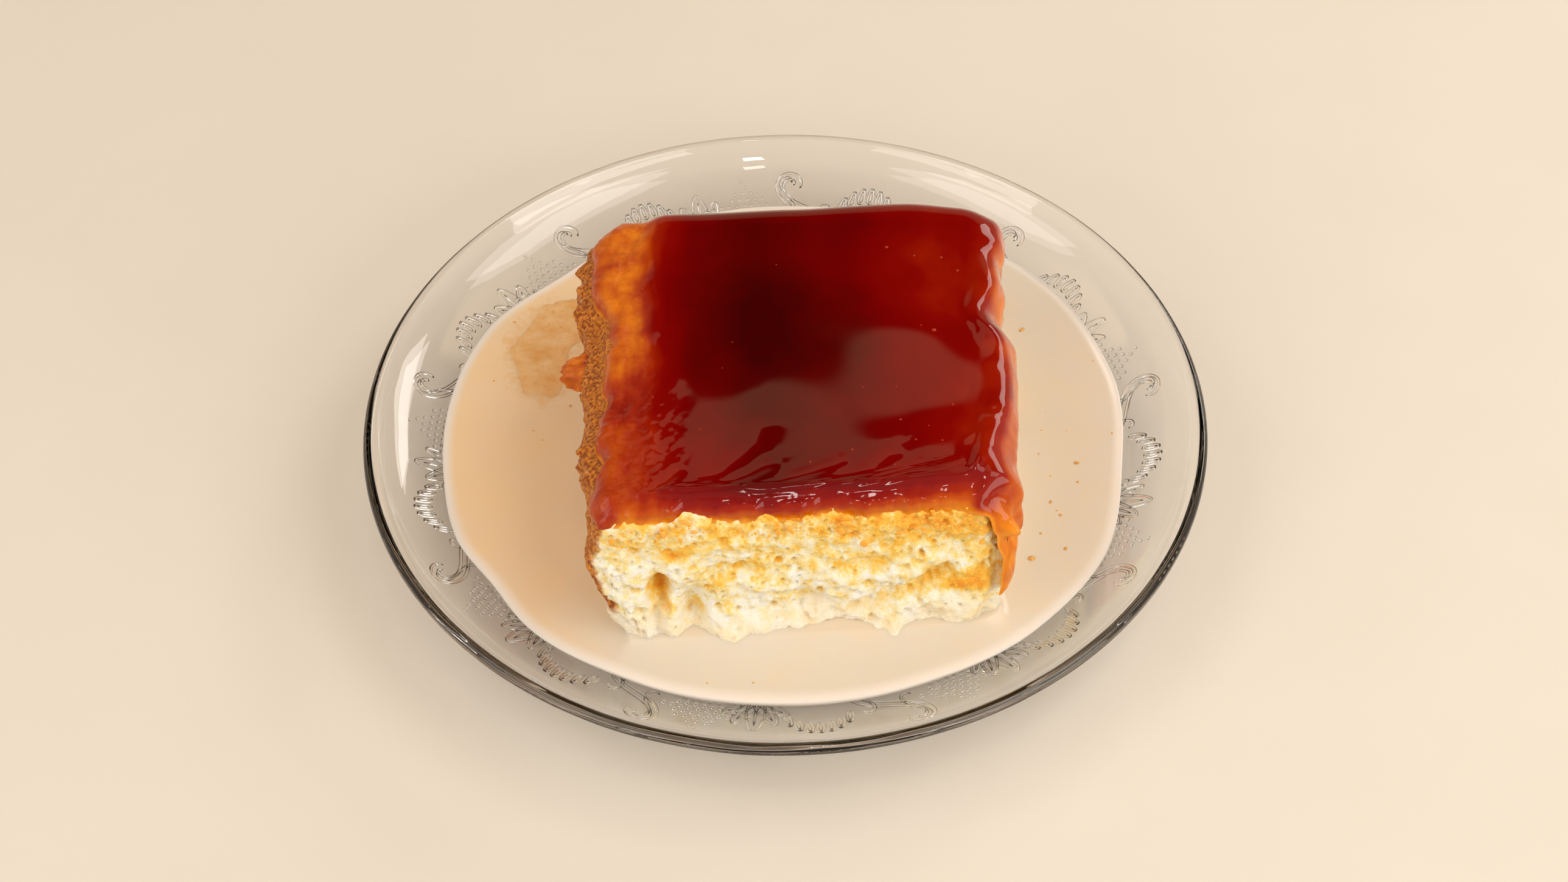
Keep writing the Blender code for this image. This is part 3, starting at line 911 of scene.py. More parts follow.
@dataclass(frozen=True)
class SoakedSponge:
    """The cut square of cake: torn crumb at the front, plainer cuts behind, crust on the left."""

    form: CakeForm
    spacings: tuple[float, float, float, float] = (0.36 * MM, 0.8 * MM, 1.1 * MM, 0.7 * MM)
    corner_spacing: float = 0.5 * MM
    row_spacing: float = 0.4 * MM
    hollows: Spots = (
        (-0.0282, 0.0275, 0.0022, 0.0045, 0.0056), (-0.029, 0.0215, 0.0014, 0.004, 0.003),
        (-0.0212, 0.0205, 0.0034, 0.006, 0.0044), (0.004, 0.0225, 0.005, 0.004, 0.0024),
        (0.012, 0.0165, 0.008, 0.0045, 0.0026), (-0.04, 0.0185, 0.006, 0.004, 0.002),
        (-0.012, 0.033, 0.005, 0.0022, 0.0024), (0.018, 0.033, 0.0045, 0.002, 0.002),
        (0.033, 0.017, 0.003, 0.003, 0.0016),
    )
    slumps: Spots = (
        (-0.045, 0.0165, 0.008, 0.008, 0.003), (-0.0252, 0.02, 0.0018, 0.007, 0.0016),
        (-0.011, 0.0145, 0.01, 0.0055, 0.002), (0.004, 0.014, 0.006, 0.004, 0.0012),
        (0.024, 0.0155, 0.01, 0.0045, 0.0014), (0.04, 0.015, 0.008, 0.0055, 0.0016),
    )
    torn: Pair = (0.003, 0.0064)
    big_pores: tuple[float, Pair, float] = (0.0046, (0.0006, 0.002), 0.42)
    small_pores: tuple[float, Pair, float] = (0.0019, (0.0004, 0.0009), 0.55)
    granules: tuple[float, float, int] = (0.0011, 0.002, 2)
    depths: Triple = (0.0015, 0.001, 0.0015)
    groove: tuple[Table, float, float] = (
        ((0.011, 0.018), (0.019, 0.0215), (0.027, 0.025), (0.035, 0.03)), 0.0022, 0.0034)
    crust_lip: tuple[float, float, float, float] = (0.035, 0.041, 0.0458, 0.0476)
    crust_out: Triple = (0.0023, 0.002, 0.003)
    ledge: Triple = (0.0026, 0.008, 0.0195)
    crumb_top: float = 0.0502
    brow: float = 0.0004
    wet_line: float = 0.0165
    soak_line: Table = ((-0.05, 0.0425), (-0.04, 0.042), (-0.028, 0.0405), (-0.01, 0.0385),
                        (0.012, 0.0365), (0.026, 0.035), (0.036, 0.0335), (0.044, 0.029), (0.05, 0.026))
    soak_rise: Table = ((-0.023, 0.08), (-0.012, 0.15), (-0.005, 0.22), (0.002, 0.3), (0.006, 0.37),
                        (0.009, 0.45), (0.0115, 0.6))
    # Caramel seeps; the second lies in the deepest hollow and paints its dark inside, a painted shade.
    seeps_and_hollow_shade: Spots = (
        (0.04, 0.027, 0.007, 0.0036, 0.62), (-0.0284, 0.0262, 0.0022, 0.0052, 0.36),
        (-0.0246, 0.0396, 0.0035, 0.002, 0.4), (-0.016, 0.029, 0.003, 0.003, 0.2),
        (-0.006, 0.035, 0.002, 0.004, 0.35), (0.013, 0.034, 0.005, 0.002, 0.3),
    )

    def rows(self) -> list[Triple]:
        """Each row's share of the core, way out from it and height, from the bottom's middle up.

        Returns:
            The three numbers of each row.
        """
        form = self.form
        floor, edge_start = form.dish.floor_height, form.top - form.edge
        made = [(share, 0.0, floor) for share in (0.12, 0.35, 0.6, 0.82, 1.0)]
        made += [(1.0, form.corner * 0.5, floor), (1.0, form.corner * 0.85, floor)]
        count = int((edge_start - floor) / self.row_spacing)
        made += [(1.0, form.corner, z) for z in np.linspace(floor, edge_start, count)]
        for turn in np.linspace(0, math.pi / 2, 10)[1:]:
            out = form.corner - form.edge * (1 - math.cos(turn))
            made.append((1.0, out, edge_start + form.edge * math.sin(turn)))
        return made + [(1.0, 0.0, form.top)] + [(share, 0.0, form.top) for share in (0.85, 0.6, 0.35, 0.12)]

    def relief(self, places: Array, facing: Array) -> tuple[Array, Array]:
        """How far the crumb is torn back at places on the sides.

        Args:
            places: Places on the smooth cake, shape (N, 3).
            facing: Unit vector outwards at each place, shape (N, 2).

        Returns:
            Depth of the tear in metres, and how deep in a pore the place is, 0 to 1.
        """
        front = ease(-facing[:, 1], 0.35, 0.8)
        left = ease(-facing[:, 0], 0.35, 0.8)
        x, z = places[:, 0], places[:, 2]
        hollow = np.max([spot(x, z, patch) for patch in self.hollows], axis=0)
        slump = np.max([spot(x, z, patch) for patch in self.slumps], axis=0)
        slump = slump * ease(z, 0.012, 0.015) * ease(-facing[:, 1], -0.2, 0.5)
        line, wide, deep = self.groove
        away, along = off_line(np.stack([x, z], axis=-1), line)
        hollow = np.maximum(hollow, deep * np.exp(-(away / wide) ** 2) * ease(along, 0.0, 0.15))
        torn = self.torn[0] * (0.5 + 0.5 * lumps(places, self.torn[1], 3, 3))
        torn = torn * (1 - 0.7 * ease(z, 0.04, 0.0465))
        big = pores(places, *self.big_pores, 21)
        small = pores(places, *self.small_pores, 31)
        fine, coarse, octaves = self.granules
        crevice = 0.5 + 0.25 * lumps(places, fine, 37, octaves) + 0.4 * lumps(places, coarse, 38, octaves)
        wet = 0.75 + 0.25 * ease(z, self.wet_line, self.wet_line + 0.006)
        pored = (big * self.depths[0] + small * self.depths[1] + crevice * self.depths[2]) * wet
        rough = 0.4 + 0.6 * np.maximum(front, 0.6 * left)
        depth = hollow * front + (torn + pored) * rough * (1 - 0.35 * left)
        fade = (1 - ease(z, self.crumb_top - 0.0016, self.crumb_top)) * ease(z, 0.0125, 0.015)
        brow = self.brow * front * (1 - ease(z, self.crumb_top - 0.0022, self.crumb_top - 0.0004))
        slump = slump + brow * ease(z, 0.036, 0.044)
        low = ease(lumps(places, self.ledge[1], 39, 2), -0.2, 0.7) * (1 - ease(z, 0.0145, self.ledge[2]))
        # The pore mask takes the hollows too; the finish paints it as shade in the crumb's recesses.
        pore = np.clip(0.7 * big + 0.4 * small + 0.5 * (crevice - 0.4) + hollow / 0.005 * 0.5 * front, 0, 1)
        start, full, hold, stop = self.crust_lip
        least, more, size = self.crust_out
        lip = ease(z, start, full) * (1 - ease(z, hold, stop)) * ease(places[:, 1], -0.05, -0.042)
        lip = lip * left * (least + more * lumps(places, size, 40, 3))
        return depth * fade - self.ledge[0] * low * front - lip - slump, pore * fade * (0.5 + 0.5 * rough)

    def shape(self) -> Shape:
        """The closed skin of the sponge with its masks.

        Returns:
            Its shape, in the frame of the part.
        """
        form = self.form
        core, facing = form.outline(self.spacings, self.corner_spacing)
        rows = self.rows()
        share = np.array([r[0] for r in rows])[:, None, None]
        out = np.array([r[1] for r in rows])[:, None, None]
        flat = (core[None] * share + facing[None] * out).reshape(-1, 2)
        z = np.repeat([r[2] for r in rows], len(core))
        places = form.bent(flat[:, 0], flat[:, 1], z)
        faced = np.tile(facing, (len(rows), 1))
        on_side = np.repeat([1.0 if r[1] > form.corner - form.edge else 0.0 for r in rows], len(core))
        depth, pore = self.relief(places, faced)
        places[:, :2] -= faced * (depth * on_side)[:, None]
        middles = form.bent(np.zeros(2), np.zeros(2), np.array([form.dish.floor_height, form.top]))
        points = np.vstack([places, middles])
        ring, last = np.arange(len(core)), (len(rows) - 1) * len(core)
        faces = [lattice(len(rows), len(core), close_columns=True),
                 fan(ring[::-1], len(places)), fan(ring + last, len(places) + 1)]
        return Shape(points, faces, self.masks(points, np.vstack([faced, [[0, 0], [0, 0]]]),
                                               np.append(pore, [0, 0])))

    def masks(self, points: Array, facing: Array, pore: Array) -> dict[str, Array]:
        """Where the crumb is open (painted there as shade), soaked with caramel, wet with milk or browned.

        Args:
            points: The sponge's points.
            facing: Unit vector outwards at each.
            pore: How deep in a pore each is.

        Returns:
            One value from 0 to 1 a point, by name.
        """
        x, z = points[:, 0], points[:, 2]
        ragged = 0.0052 * lumps(points, 0.0058, 41, 3)
        soak = between(self.soak_rise, z - between(self.soak_line, x) + ragged)
        right = ease(facing[:, 0], 0.3, 0.9)
        left = ease(-facing[:, 0], 0.45, 0.85)
        back = ease(facing[:, 1], 0.3, 0.9)
        # The seeps add caramel soak, and in the deepest hollow a painted shade.
        soak = soak + sum(spot(x, z + ragged / 3, patch) for patch in self.seeps_and_hollow_shade)
        soak = np.maximum(soak, 0.55 * np.maximum(right, back) * ease(z + ragged, 0.022, 0.042))
        crust = left * (0.95 + 0.35 * lumps(points, 0.003, 43, 2)) * ease(z + ragged / 2, 0.019, 0.026)
        milky = 1 - ease(z + ragged, self.wet_line, self.wet_line + 0.009)
        return {"pore": pore, "soak": np.clip(soak, 0, 1), "crust": np.clip(crust, 0, 1), "milky": milky}

    def build(self) -> Thing:
        """Builds and dresses the sponge, in the place of its solid."""
        piece = self.shape().piece("soaked_sponge", SoakedCrumbFinish().material())
        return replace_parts(piece, "sponge")


# ---- glaze


@dataclass(frozen=True)
class Furrow:
    """A valley dragged through the setting caramel, on the skin's own coordinates."""

    line: Table
    width: float
    depth: float
    wake: float = 1.7

    def cut(self, places: Array) -> Array:
        """Depth of the valley at each place, fading out at its ends.

        Args:
            places: Skin coordinates, with (across, back) last.

        Returns:
            Depth in metres.
        """
        away, along = off_line(places, self.line)
        ends = ease(along, 0.0, 0.25) * (1 - ease(along, 0.82, 1.0))
        width = self.width * np.where(away > 0, self.wake, 0.8 + 1.6 * along)
        return self.depth * np.exp(-(away / width) ** 2) * (0.2 + 0.8 * ends)


@dataclass(frozen=True)
class CaramelGlaze:
    """The poured caramel: a sheet over the top that thins to a film on the left, rolls into a bead
    on the right, is dragged into ripples near the front and hangs down every side."""

    form: CakeForm
    lift: float = 0.0006
    spacing_across: float = 0.62 * MM
    spacing_front: float = 0.42 * MM
    spacing_back: float = 0.9 * MM
    fine_until: float = -0.016
    front_drape: Table = ((-0.048, 0.0088), (-0.044, 0.008), (-0.036, 0.0076), (-0.024, 0.0072),
                          (0.004, 0.0076), (0.026, 0.0082), (0.036, 0.0084), (0.0425, 0.009),
                          (0.044, 0.013), (0.0455, 0.02), (0.0465, 0.03), (0.048, 0.035))
    back_drape: Table = ((-0.048, 0.012), (-0.02, 0.015), (0.006, 0.0125), (0.03, 0.016),
                         (0.048, 0.014))
    left_drape: Table = ((-0.048, 0.0088), (-0.041, 0.012), (-0.036, 0.0105), (-0.028, 0.0078),
                         (-0.008, 0.0072), (0.001, 0.007), (0.006, 0.0052), (0.011, 0.0056),
                         (0.016, 0.0078), (0.03, 0.0088), (0.048, 0.011))
    right_drape: Table = ((-0.048, 0.035), (-0.042, 0.02), (-0.028, 0.0135), (-0.01, 0.0195),
                          (0.004, 0.0205), (0.013, 0.015), (0.026, 0.0185), (0.048, 0.015))
    body: float = 0.0029
    film: float = 0.0012
    half_way: Pair = (-0.018, 0.008)
    wander: Noise = Noise(0.0016, 0.009, 61, 2)
    film_start: float = -0.0405
    film_end: float = -0.0315
    front_fade: Table = ((0.0, 1.0), (0.002, 0.92), (0.0036, 0.76), (0.005, 0.58), (0.0062, 0.4),
                         (0.0074, 0.25), (0.0086, 0.15))
    sink: Pair = (0.001, 0.004)
    hem: float = 0.0007
    hem_width: float = 0.0022
    thinnest: float = 0.0001
    bead_line: Table = ((0.0486, 0.047), (0.048, 0.0296), (0.0471, 0.0199), (0.0457, 0.011),
                        (0.0449, 0.0074), (0.0458, 0.0039), (0.047, 0.001), (0.0481, -0.0053),
                        (0.0476, -0.0148), (0.0465, -0.0242), (0.0452, -0.033), (0.042, -0.04))
    bead: Pair = (0.0017, 0.0014)
    mounds: Spots = (
        (0.0285, 0.0005, 0.019, 0.021, 0.0005),
        (-0.015, 0.016, 0.012, 0.018, -0.00022), (0.006, 0.0, 0.008, 0.012, -0.00015),
    )
    furrows: tuple[Furrow, ...] = (
        Furrow(((-0.024, -0.0414), (-0.0201, -0.0395), (-0.0156, -0.037), (-0.0118, -0.033),
                (-0.0087, -0.0288), (-0.0076, -0.0237), (-0.0072, -0.0185)), 0.0017, 0.0005),
        Furrow(((-0.0193, -0.0423), (-0.0137, -0.0403), (-0.0096, -0.0383), (-0.0071, -0.0364),
                (-0.0035, -0.0339)), 0.0012, 0.00045),
        Furrow(((-0.0041, -0.042), (-0.0008, -0.0402), (0.0043, -0.0383), (0.0093, -0.0358),
                (0.0127, -0.0328)), 0.0012, 0.00045),
        Furrow(((0.0056, -0.0422), (0.0096, -0.0403), (0.0165, -0.0379), (0.0206, -0.0341),
                (0.0235, -0.0312)), 0.0014, 0.00045),
        Furrow(((0.015, -0.042), (0.0205, -0.0404), (0.0262, -0.0386), (0.031, -0.0358)),
               0.0012, 0.00036),
        Furrow(((-0.033, -0.041), (-0.03, -0.0396), (-0.027, -0.0372), (-0.0258, -0.035)),
               0.0011, 0.0003),
    )
    crest: Table = ((-0.0318, -0.0427), (-0.0239, -0.0436), (-0.0135, -0.0432), (-0.0079, -0.0445),
                    (0.0034, -0.0438), (0.0125, -0.0424), (0.0256, -0.0396), (0.0335, -0.0393),
                    (0.0388, -0.0376), (0.0411, -0.0306), (0.0448, -0.0233))
    depth_back: Table = ((-0.052, 1.3), (-0.0475, 1.2), (-0.043, 1.0), (-0.0395, 0.9), (-0.0378, 1.0),
                         (-0.0358, 1.45), (-0.0335, 1.95), (-0.0295, 2.4), (-0.022, 2.75),
                         (-0.007, 3.0), (0.012, 2.8), (0.026, 2.4), (0.036, 2.2), (0.043, 2.15),
                         (0.0468, 1.9), (0.0486, 1.2), (0.051, 0.85))
    depth_front: Table = ((-0.052, 1.2), (-0.046, 1.45), (-0.04, 1.62), (-0.035, 1.85), (-0.03, 2.15),
                          (-0.022, 2.6), (-0.007, 3.0), (0.012, 2.7), (0.026, 2.35), (0.036, 2.2),
                          (0.043, 2.05), (0.0468, 1.9), (0.0486, 1.3), (0.051, 1.02))
    pools: Spots = (
        (-0.007, 0.008, 0.011, 0.016, 0.45), (0.006, -0.002, 0.01, 0.007, 0.3),
        (0.028, 0.033, 0.012, 0.008, -0.3), (0.006, 0.033, 0.012, 0.008, -0.2),
        (0.032, 0.018, 0.017, 0.012, -0.28), (0.016, 0.024, 0.008, 0.006, -0.2),
        (-0.03, 0.038, 0.006, 0.008, -0.35), (-0.024, -0.01, 0.006, 0.01, 0.2),
        (0.04, -0.025, 0.008, 0.012, -0.25), (-0.02, -0.033, 0.01, 0.006, -0.25),
    )
    nubs: Spots = (
        (0.0524, -0.049, 0.0023, 0.0023, 0.004), (0.045, -0.045, 0.0016, 0.0016, 0.0008),
        (0.054, -0.058, 0.0018, 0.0018, 0.0012),
    )
    # A raised ring in the film: its middle, radius, half width and height.
    ring: Patch = (-0.0415, 0.032, 0.002, 0.0005, 0.0004)
    drips: Pair = (0.0017, 0.0044)
    notches: Pair = (0.0002, 0.001)
    side_columns: int = 30
    drape_rows: tuple[int, int] = (44, 20)
    first_guess: float = 0.007

    def stations(self, core: float, spacings: Pair, drapes: tuple[int, int],
                 change: float) -> tuple[Array, Array, Array]:
        """Places of the sheet's rows or columns.

        Args:
            core: Half the flat core's length.
            spacings: Distance between places before and after change.
            drapes: Number of places down the first and the last drape.
            change: Where the spacing changes.

        Returns:
            Place on the core, share down the drape from 0 to 1, and -1 or 1 for the side.
        """
        near = np.linspace(-core, change, int((change + core) / spacings[0]), endpoint=False)
        far = np.linspace(change, core, int((core - change) / spacings[1]) + 1)
        low, high = (np.arange(1, n + 1) / n for n in drapes)
        place = np.concatenate([np.full(drapes[0], -core), near, far, np.full(drapes[1], core)])
        past = np.concatenate([low[::-1], np.zeros(len(near) + len(far)), high])
        side = np.concatenate([-np.ones(drapes[0]), np.zeros(len(near) + len(far)), np.ones(drapes[1])])
        return place, past, side

    def ragged(self, along: Array, seed: int) -> Array:
        """How much further down the hem hangs along a side: drips and notches.

        Args:
            along: Places along the side.
            seed: Chooses the side's own pattern.

        Returns:
            The extra length, below 0 where the hem is short.
        """
        line = np.stack([along, np.zeros_like(along), np.full_like(along, seed / 10)], axis=-1)
        return Noise(*self.drips, seed, 3).at(line) + Noise(*self.notches, seed + 5).at(line)

    def sheet(self) -> tuple[Array, Array, Array, tuple[int, int]]:
        """Skin coordinates of every point, its distance from the hem, and the rows and columns.

        Returns:
            Across, back, distance from the hem, and the two counts.
        """
        cu, pu, su = self.stations(self.form.core[0], (self.spacing_across,) * 2,
                                   (self.side_columns,) * 2, 0.0)
        cv, pv, sv = self.stations(self.form.core[1], (self.spacing_front, self.spacing_back),
                                   self.drape_rows, self.fine_until)
        grid_cu, grid_cv = np.meshgrid(cu, cv)
        grid_pu, grid_pv = np.meshgrid(pu, pv)
        grid_su, grid_sv = np.meshgrid(su, sv)
        guess_u = grid_cu + grid_su * grid_pu * self.first_guess
        guess_v = grid_cv + grid_sv * grid_pv * self.first_guess
        left = between(self.left_drape, guess_v) + self.ragged(guess_v, 51)
        right = between(self.right_drape, guess_v) + self.ragged(guess_v, 52)
        front = between(self.front_drape, guess_u) + self.ragged(guess_u, 53)
        back = between(self.back_drape, guess_u) + self.ragged(guess_u, 54)
        drape_u, drape_v = np.where(grid_su > 0, right, left), np.where(grid_sv > 0, back, front)
        # The root rounds the sheet's own corners, where both drapes hang.
        u = grid_cu + grid_su * grid_pu * drape_u * np.sqrt(1 - grid_pv ** 2 / 2)
        v = grid_cv + grid_sv * grid_pv * drape_v * np.sqrt(1 - grid_pu ** 2 / 2)
        hem_u = np.where(grid_su == 0, 1.0, (1 - grid_pu) * drape_u)
        hem_v = np.where(grid_sv == 0, 1.0, (1 - grid_pv) * drape_v)
        return u.reshape(-1), v.reshape(-1), np.minimum(hem_u, hem_v).reshape(-1), grid_cu.shape

    def thickness(self, u: Array, v: Array, to_hem: Array) -> Array:
        """How thick the caramel is at places on the skin.

        Args:
            u: Skin coordinates across.
            v: Skin coordinates back.
            to_hem: Distance from the sheet's hem.

        Returns:
            Thickness in metres.
        """
        places = np.stack([u, v], axis=-1)
        space = np.stack([u, v, np.zeros_like(u)], axis=-1)
        near = 1 - self.behind(space)
        full = ease(u + self.wander.at(space), self.film_start - 0.0035 * near,
                    self.film_end + 0.01 * near)
        lumpy = 0.0007 * lumps(space * (1.0, 0.6, 1.0), 0.0046, 62, 3)
        lumpy = lumpy + 0.00018 * lumps(space, 0.0012, 63)
        ring_u, ring_v, radius, wide, high = self.ring
        off_ring = (np.hypot(u - ring_u, v - ring_v) - radius) / wide
        lumpy = lumpy + high * np.exp(-off_ring ** 2)
        thick = (self.film + lumpy) * (1 - full) + self.body * full
        wide, high = self.bead
        away, _ = off_line(places, self.bead_line)
        thick = thick + high * np.exp(-(away / wide) ** 2) * (0.8 + 0.4 * lumps(space, 0.006, 64))
        thick = thick + sum(spot(u, v, mound) for mound in self.mounds)
        thick = thick - sum(furrow.cut(places) for furrow in self.furrows)
        away, _ = off_line(places, self.crest)
        fold = np.exp(-(away / 0.0014) ** 2) * (0.6 + 0.4 * lumps(space, 0.004, 65))
        wrinkle = np.cos(2 * math.pi * away / 0.0013) * np.exp(-(away / 0.0026) ** 2)
        thick = thick + 0.00026 * fold + 0.00007 * wrinkle * ease(-v, 0.034, 0.04)
        swirl = np.exp(-((v + 0.0365) / 0.006) ** 2)
        swirl = swirl * ease(u, -0.034, -0.026) * (1 - ease(u, 0.026, 0.036))
        thick = thick + 0.00006 * swirl * lumps(space, 0.006, 66)
        roll = ease(-v, 0.0415, 0.0455)
        thick = thick * (1 - 0.7 * roll) + 0.0001 * roll * lumps(space, 0.0022, 59, 3)
        past = np.hypot(np.maximum(np.abs(u) - self.form.core[0], 0),
                        np.maximum(np.abs(v) - self.form.core[1], 0))
        side = ease(past, 0.007, 0.012)
        thick = thick * (1 - 0.45 * side) + 0.00035 * side * lumps(space, 0.0035, 67, 2)
        corner = ease(u, 0.0435, 0.047) * ease(-v, 0.043, 0.047)
        thick = thick + corner * 0.0006 * lumps(space, 0.0026, 56, 3)
        thick = thick + sum(spot(u, v, nub) for nub in self.nubs)
        t = np.clip(to_hem / (self.hem_width * (1 + 0.8 * roll)), 0.0, 1.0)
        rolled = np.clip(1 - (1 - t) ** 2, 0.0, 1.0) ** (0.5 + 0.3 * roll)
        return np.maximum(thick, self.hem * (1 - 0.4 * roll)) * (0.04 + 0.96 * rolled)

    def masks(self, u: Array, v: Array, to_hem: Array) -> dict[str, Array]:
        """What the finish needs to know of each place.

        Args:
            u: Skin coordinates across.
            v: Skin coordinates back.
            to_hem: Distance from the sheet's hem.

        Returns:
            Depth of syrup in millimetres, and where the caramel is a rough film.
        """
        space = np.stack([u, v, np.zeros_like(u)], axis=-1)
        back = self.behind(space)
        across = u + self.wander.at(space)
        depth = between(self.depth_front, across) * (1 - back) + between(self.depth_back, across) * back
        deep = ease(depth, 1.6, 2.4)
        depth = depth + sum(spot(u, v, pool) for pool in self.pools)
        depth = depth + 0.22 * deep * lumps(space, 0.012, 68, 4)
        streaks = 0.26 * lumps(space * (1.0, 0.35, 1.0), 0.0024, 69, 3)
        depth = depth + (1 - deep) * (streaks + 0.34 * lumps(space, 0.006, 70, 2))
        past_front = np.maximum(-v - self.form.core[1], 0)
        frayed = past_front + 0.0009 * lumps(space, 0.003, 58, 3)
        depth = depth - 0.45 * ease(v, 0.04, 0.048) * deep
        before_corner = (1 - 0.55 * ease(u, 0.04, 0.044)) * ease(u, -0.047, -0.04)
        depth = depth * (1 - before_corner * (1 - between(self.front_fade, frayed)))
        side = ease(np.maximum(np.abs(u) - self.form.core[0], 0), 0.006, 0.011)
        depth = depth * (1 - 0.12 * side) + 0.25 * side * lumps(space, 0.004, 57, 3)
        drip = ease(u, 0.0415, 0.044) * ease(-v, 0.044, 0.048)
        depth = depth + drip * (0.1 + 0.45 * lumps(space * (1.0, 0.4, 1.0), 0.0022, 55, 3))
        places = np.stack([u, v], axis=-1)
        depth = depth - 0.25 * sum(furrow.cut(places) / furrow.depth for furrow in self.furrows)
        hem = ease(to_hem, 0.0, 0.0018)
        rough = np.maximum((1 - ease(u, -0.039, -0.0325)) * (0.35 + 0.65 * back), 0.15 * side)
        return {"depth": np.maximum(depth, 0.25) * (0.35 + 0.65 * hem), "rough": rough}

    def stand(self, u: Array, v: Array, to_hem: Array) -> Array:
        """How far the caramel's face stands off the skin.

        In front and on the left the film dives into the crumb at its hem, so the crumb's own bumps
        give it a frayed edge.

        Args:
            u: Skin coordinates across.
            v: Skin coordinates back.
            to_hem: Distance from the sheet's hem.

        Returns:
            Height over the skin in metres, below 0 where the film has dived.
        """
        front = ease(-v, 0.0415, 0.044) * (1 - ease(u, 0.04, 0.044))
        left = 0.8 * ease(-u, 0.042, 0.0445)
        below, reach = self.sink
        dive = np.maximum(front, left) * (1 - ease(to_hem, 0.0, reach))
        return (self.lift + self.thickness(u, v, to_hem)) * (1 - dive) - below * dive

    def behind(self, space: Array) -> Array:
        """0 on the front half of the glaze and 1 on its back half, with a wandering border."""
        return ease(space[..., 1] + 0.006 * lumps(space, 0.014, 60, 2), *self.half_way)

    def on_top(self, u: Array, v: Array) -> Array:
        """Places on the glaze's own surface at skin coordinates well inside its hem."""
        return self.form.skin(u, v, self.lift + self.thickness(u, v, np.ones_like(u)))

    def build(self) -> Thing:
        """Builds the closed sheet, its face and its back, in the place of its solid.

        Returns:
            The finished piece.
        """
        u, v, to_hem, grid = self.sheet()
        stand = self.stand(u, v, to_hem)
        face = self.form.skin(u, v, stand)
        back = self.form.skin(u, v, np.minimum(self.lift, stand - self.thinnest))
        points, faces = sealed(face, back, grid)
        masks = {name: np.tile(values, 2) for name, values in self.masks(u, v, to_hem).items()}
        piece = Shape(points, faces, masks).piece("caramel_sheet", CaramelFinish().material())
        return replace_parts(piece, "caramel_glaze")


@dataclass(frozen=True)
class GlazeBubbles:
    """Air bubbles that rose in the caramel and set: low domes."""

    glaze: CaramelGlaze
    # Skin coordinates of each bubble, and its width in millimetres.
    places: tuple[Triple, ...] = (
        (0.0331, 0.0046, 1.0), (0.0229, 0.0323, 0.8), (0.0303, 0.0294, 0.6), (0.0378, 0.0291, 0.7),
        (0.0414, 0.0247, 0.7), (0.0276, -0.0297, 0.5), (0.0239, -0.0227, 0.6), (0.0126, -0.0321, 0.6),
        (0.0034, -0.0357, 0.5), (0.0154, -0.0426, 0.5), (0.0219, -0.0374, 0.4), (0.0347, -0.0304, 0.5),
        (0.0311, -0.0251, 0.4), (0.0301, 0.0061, 0.4), (0.0155, -0.0125, 0.4), (0.0232, -0.0125, 0.35),
        (0.0372, -0.0182, 0.5), (-0.0136, 0.0024, 0.35), (-0.0034, 0.0277, 0.35), (-0.0207, -0.0247, 0.45),
        (-0.0399, -0.0346, 0.5), (-0.0346, -0.0139, 0.5), (-0.0158, -0.0059, 0.3), (-0.0359, 0.0213, 0.6),
    )
    height: float = 0.3
    syrup: float = 1.5
    facets: tuple[int, int] = (5, 14)

    def build(self) -> Thing:
        """Builds all the domes as one piece on the glaze.

        Returns:
            The finished piece.
        """
        ball, faces = pebble(*self.facets)
        masks = {"depth": np.full(len(ball), self.syrup), "rough": np.zeros(len(ball))}
        shapes = []
        for u, v, width in self.places:
            middle = self.glaze.on_top(np.array([u]), np.array([v]))[0]
            dome = ball * (width / 2) * MM * (1.0, 1.0, self.height)
            shapes.append(Shape(dome + middle, faces, masks))
        return Shape.joined(shapes).piece("glaze_bubbles", CaramelFinish().material())


@dataclass(frozen=True)
class SyrupDrops:
    """Small wet drops of thin syrup where the glaze ends above the crumb."""

    glaze: CaramelGlaze
    seed: int = 7
    front: int = 110
    corner: int = 34

    def build(self) -> Thing:
        """Builds every drop as one piece, lying on the skin just past the hem.

        Returns:
            The finished piece.
        """
        draw = np.random.default_rng(self.seed)
        u = np.concatenate([draw.uniform(-0.044, 0.042, self.front),
                            draw.uniform(0.028, 0.045, self.corner)])
        v_hem = -(self.glaze.form.core[1] + between(self.glaze.front_drape, u))
        v = v_hem + np.concatenate([draw.normal(-0.0012, 0.0012, self.front),
                                    draw.uniform(-0.003, 0.006, self.corner)])
        size = draw.gamma(2.2, 0.13, len(u)) + 0.14
        ball, faces = pebble(5, 10)
        shapes = []
        for at_u, at_v, radius in zip(u, v, size):
            at, stretch = (np.array([at_u]), np.array([at_v])), draw.uniform(0.7, 1.5, 2)
            middle = self.glaze.form.skin(*at, 0.0004 + 0.0002 * radius)[0]
            drop = ball * radius * MM * np.array([stretch[0], 0.55, stretch[1]])
            shapes.append(Shape(drop + middle, faces))
        return Shape.joined(shapes).piece("syrup_drops", SyrupFinish().material())


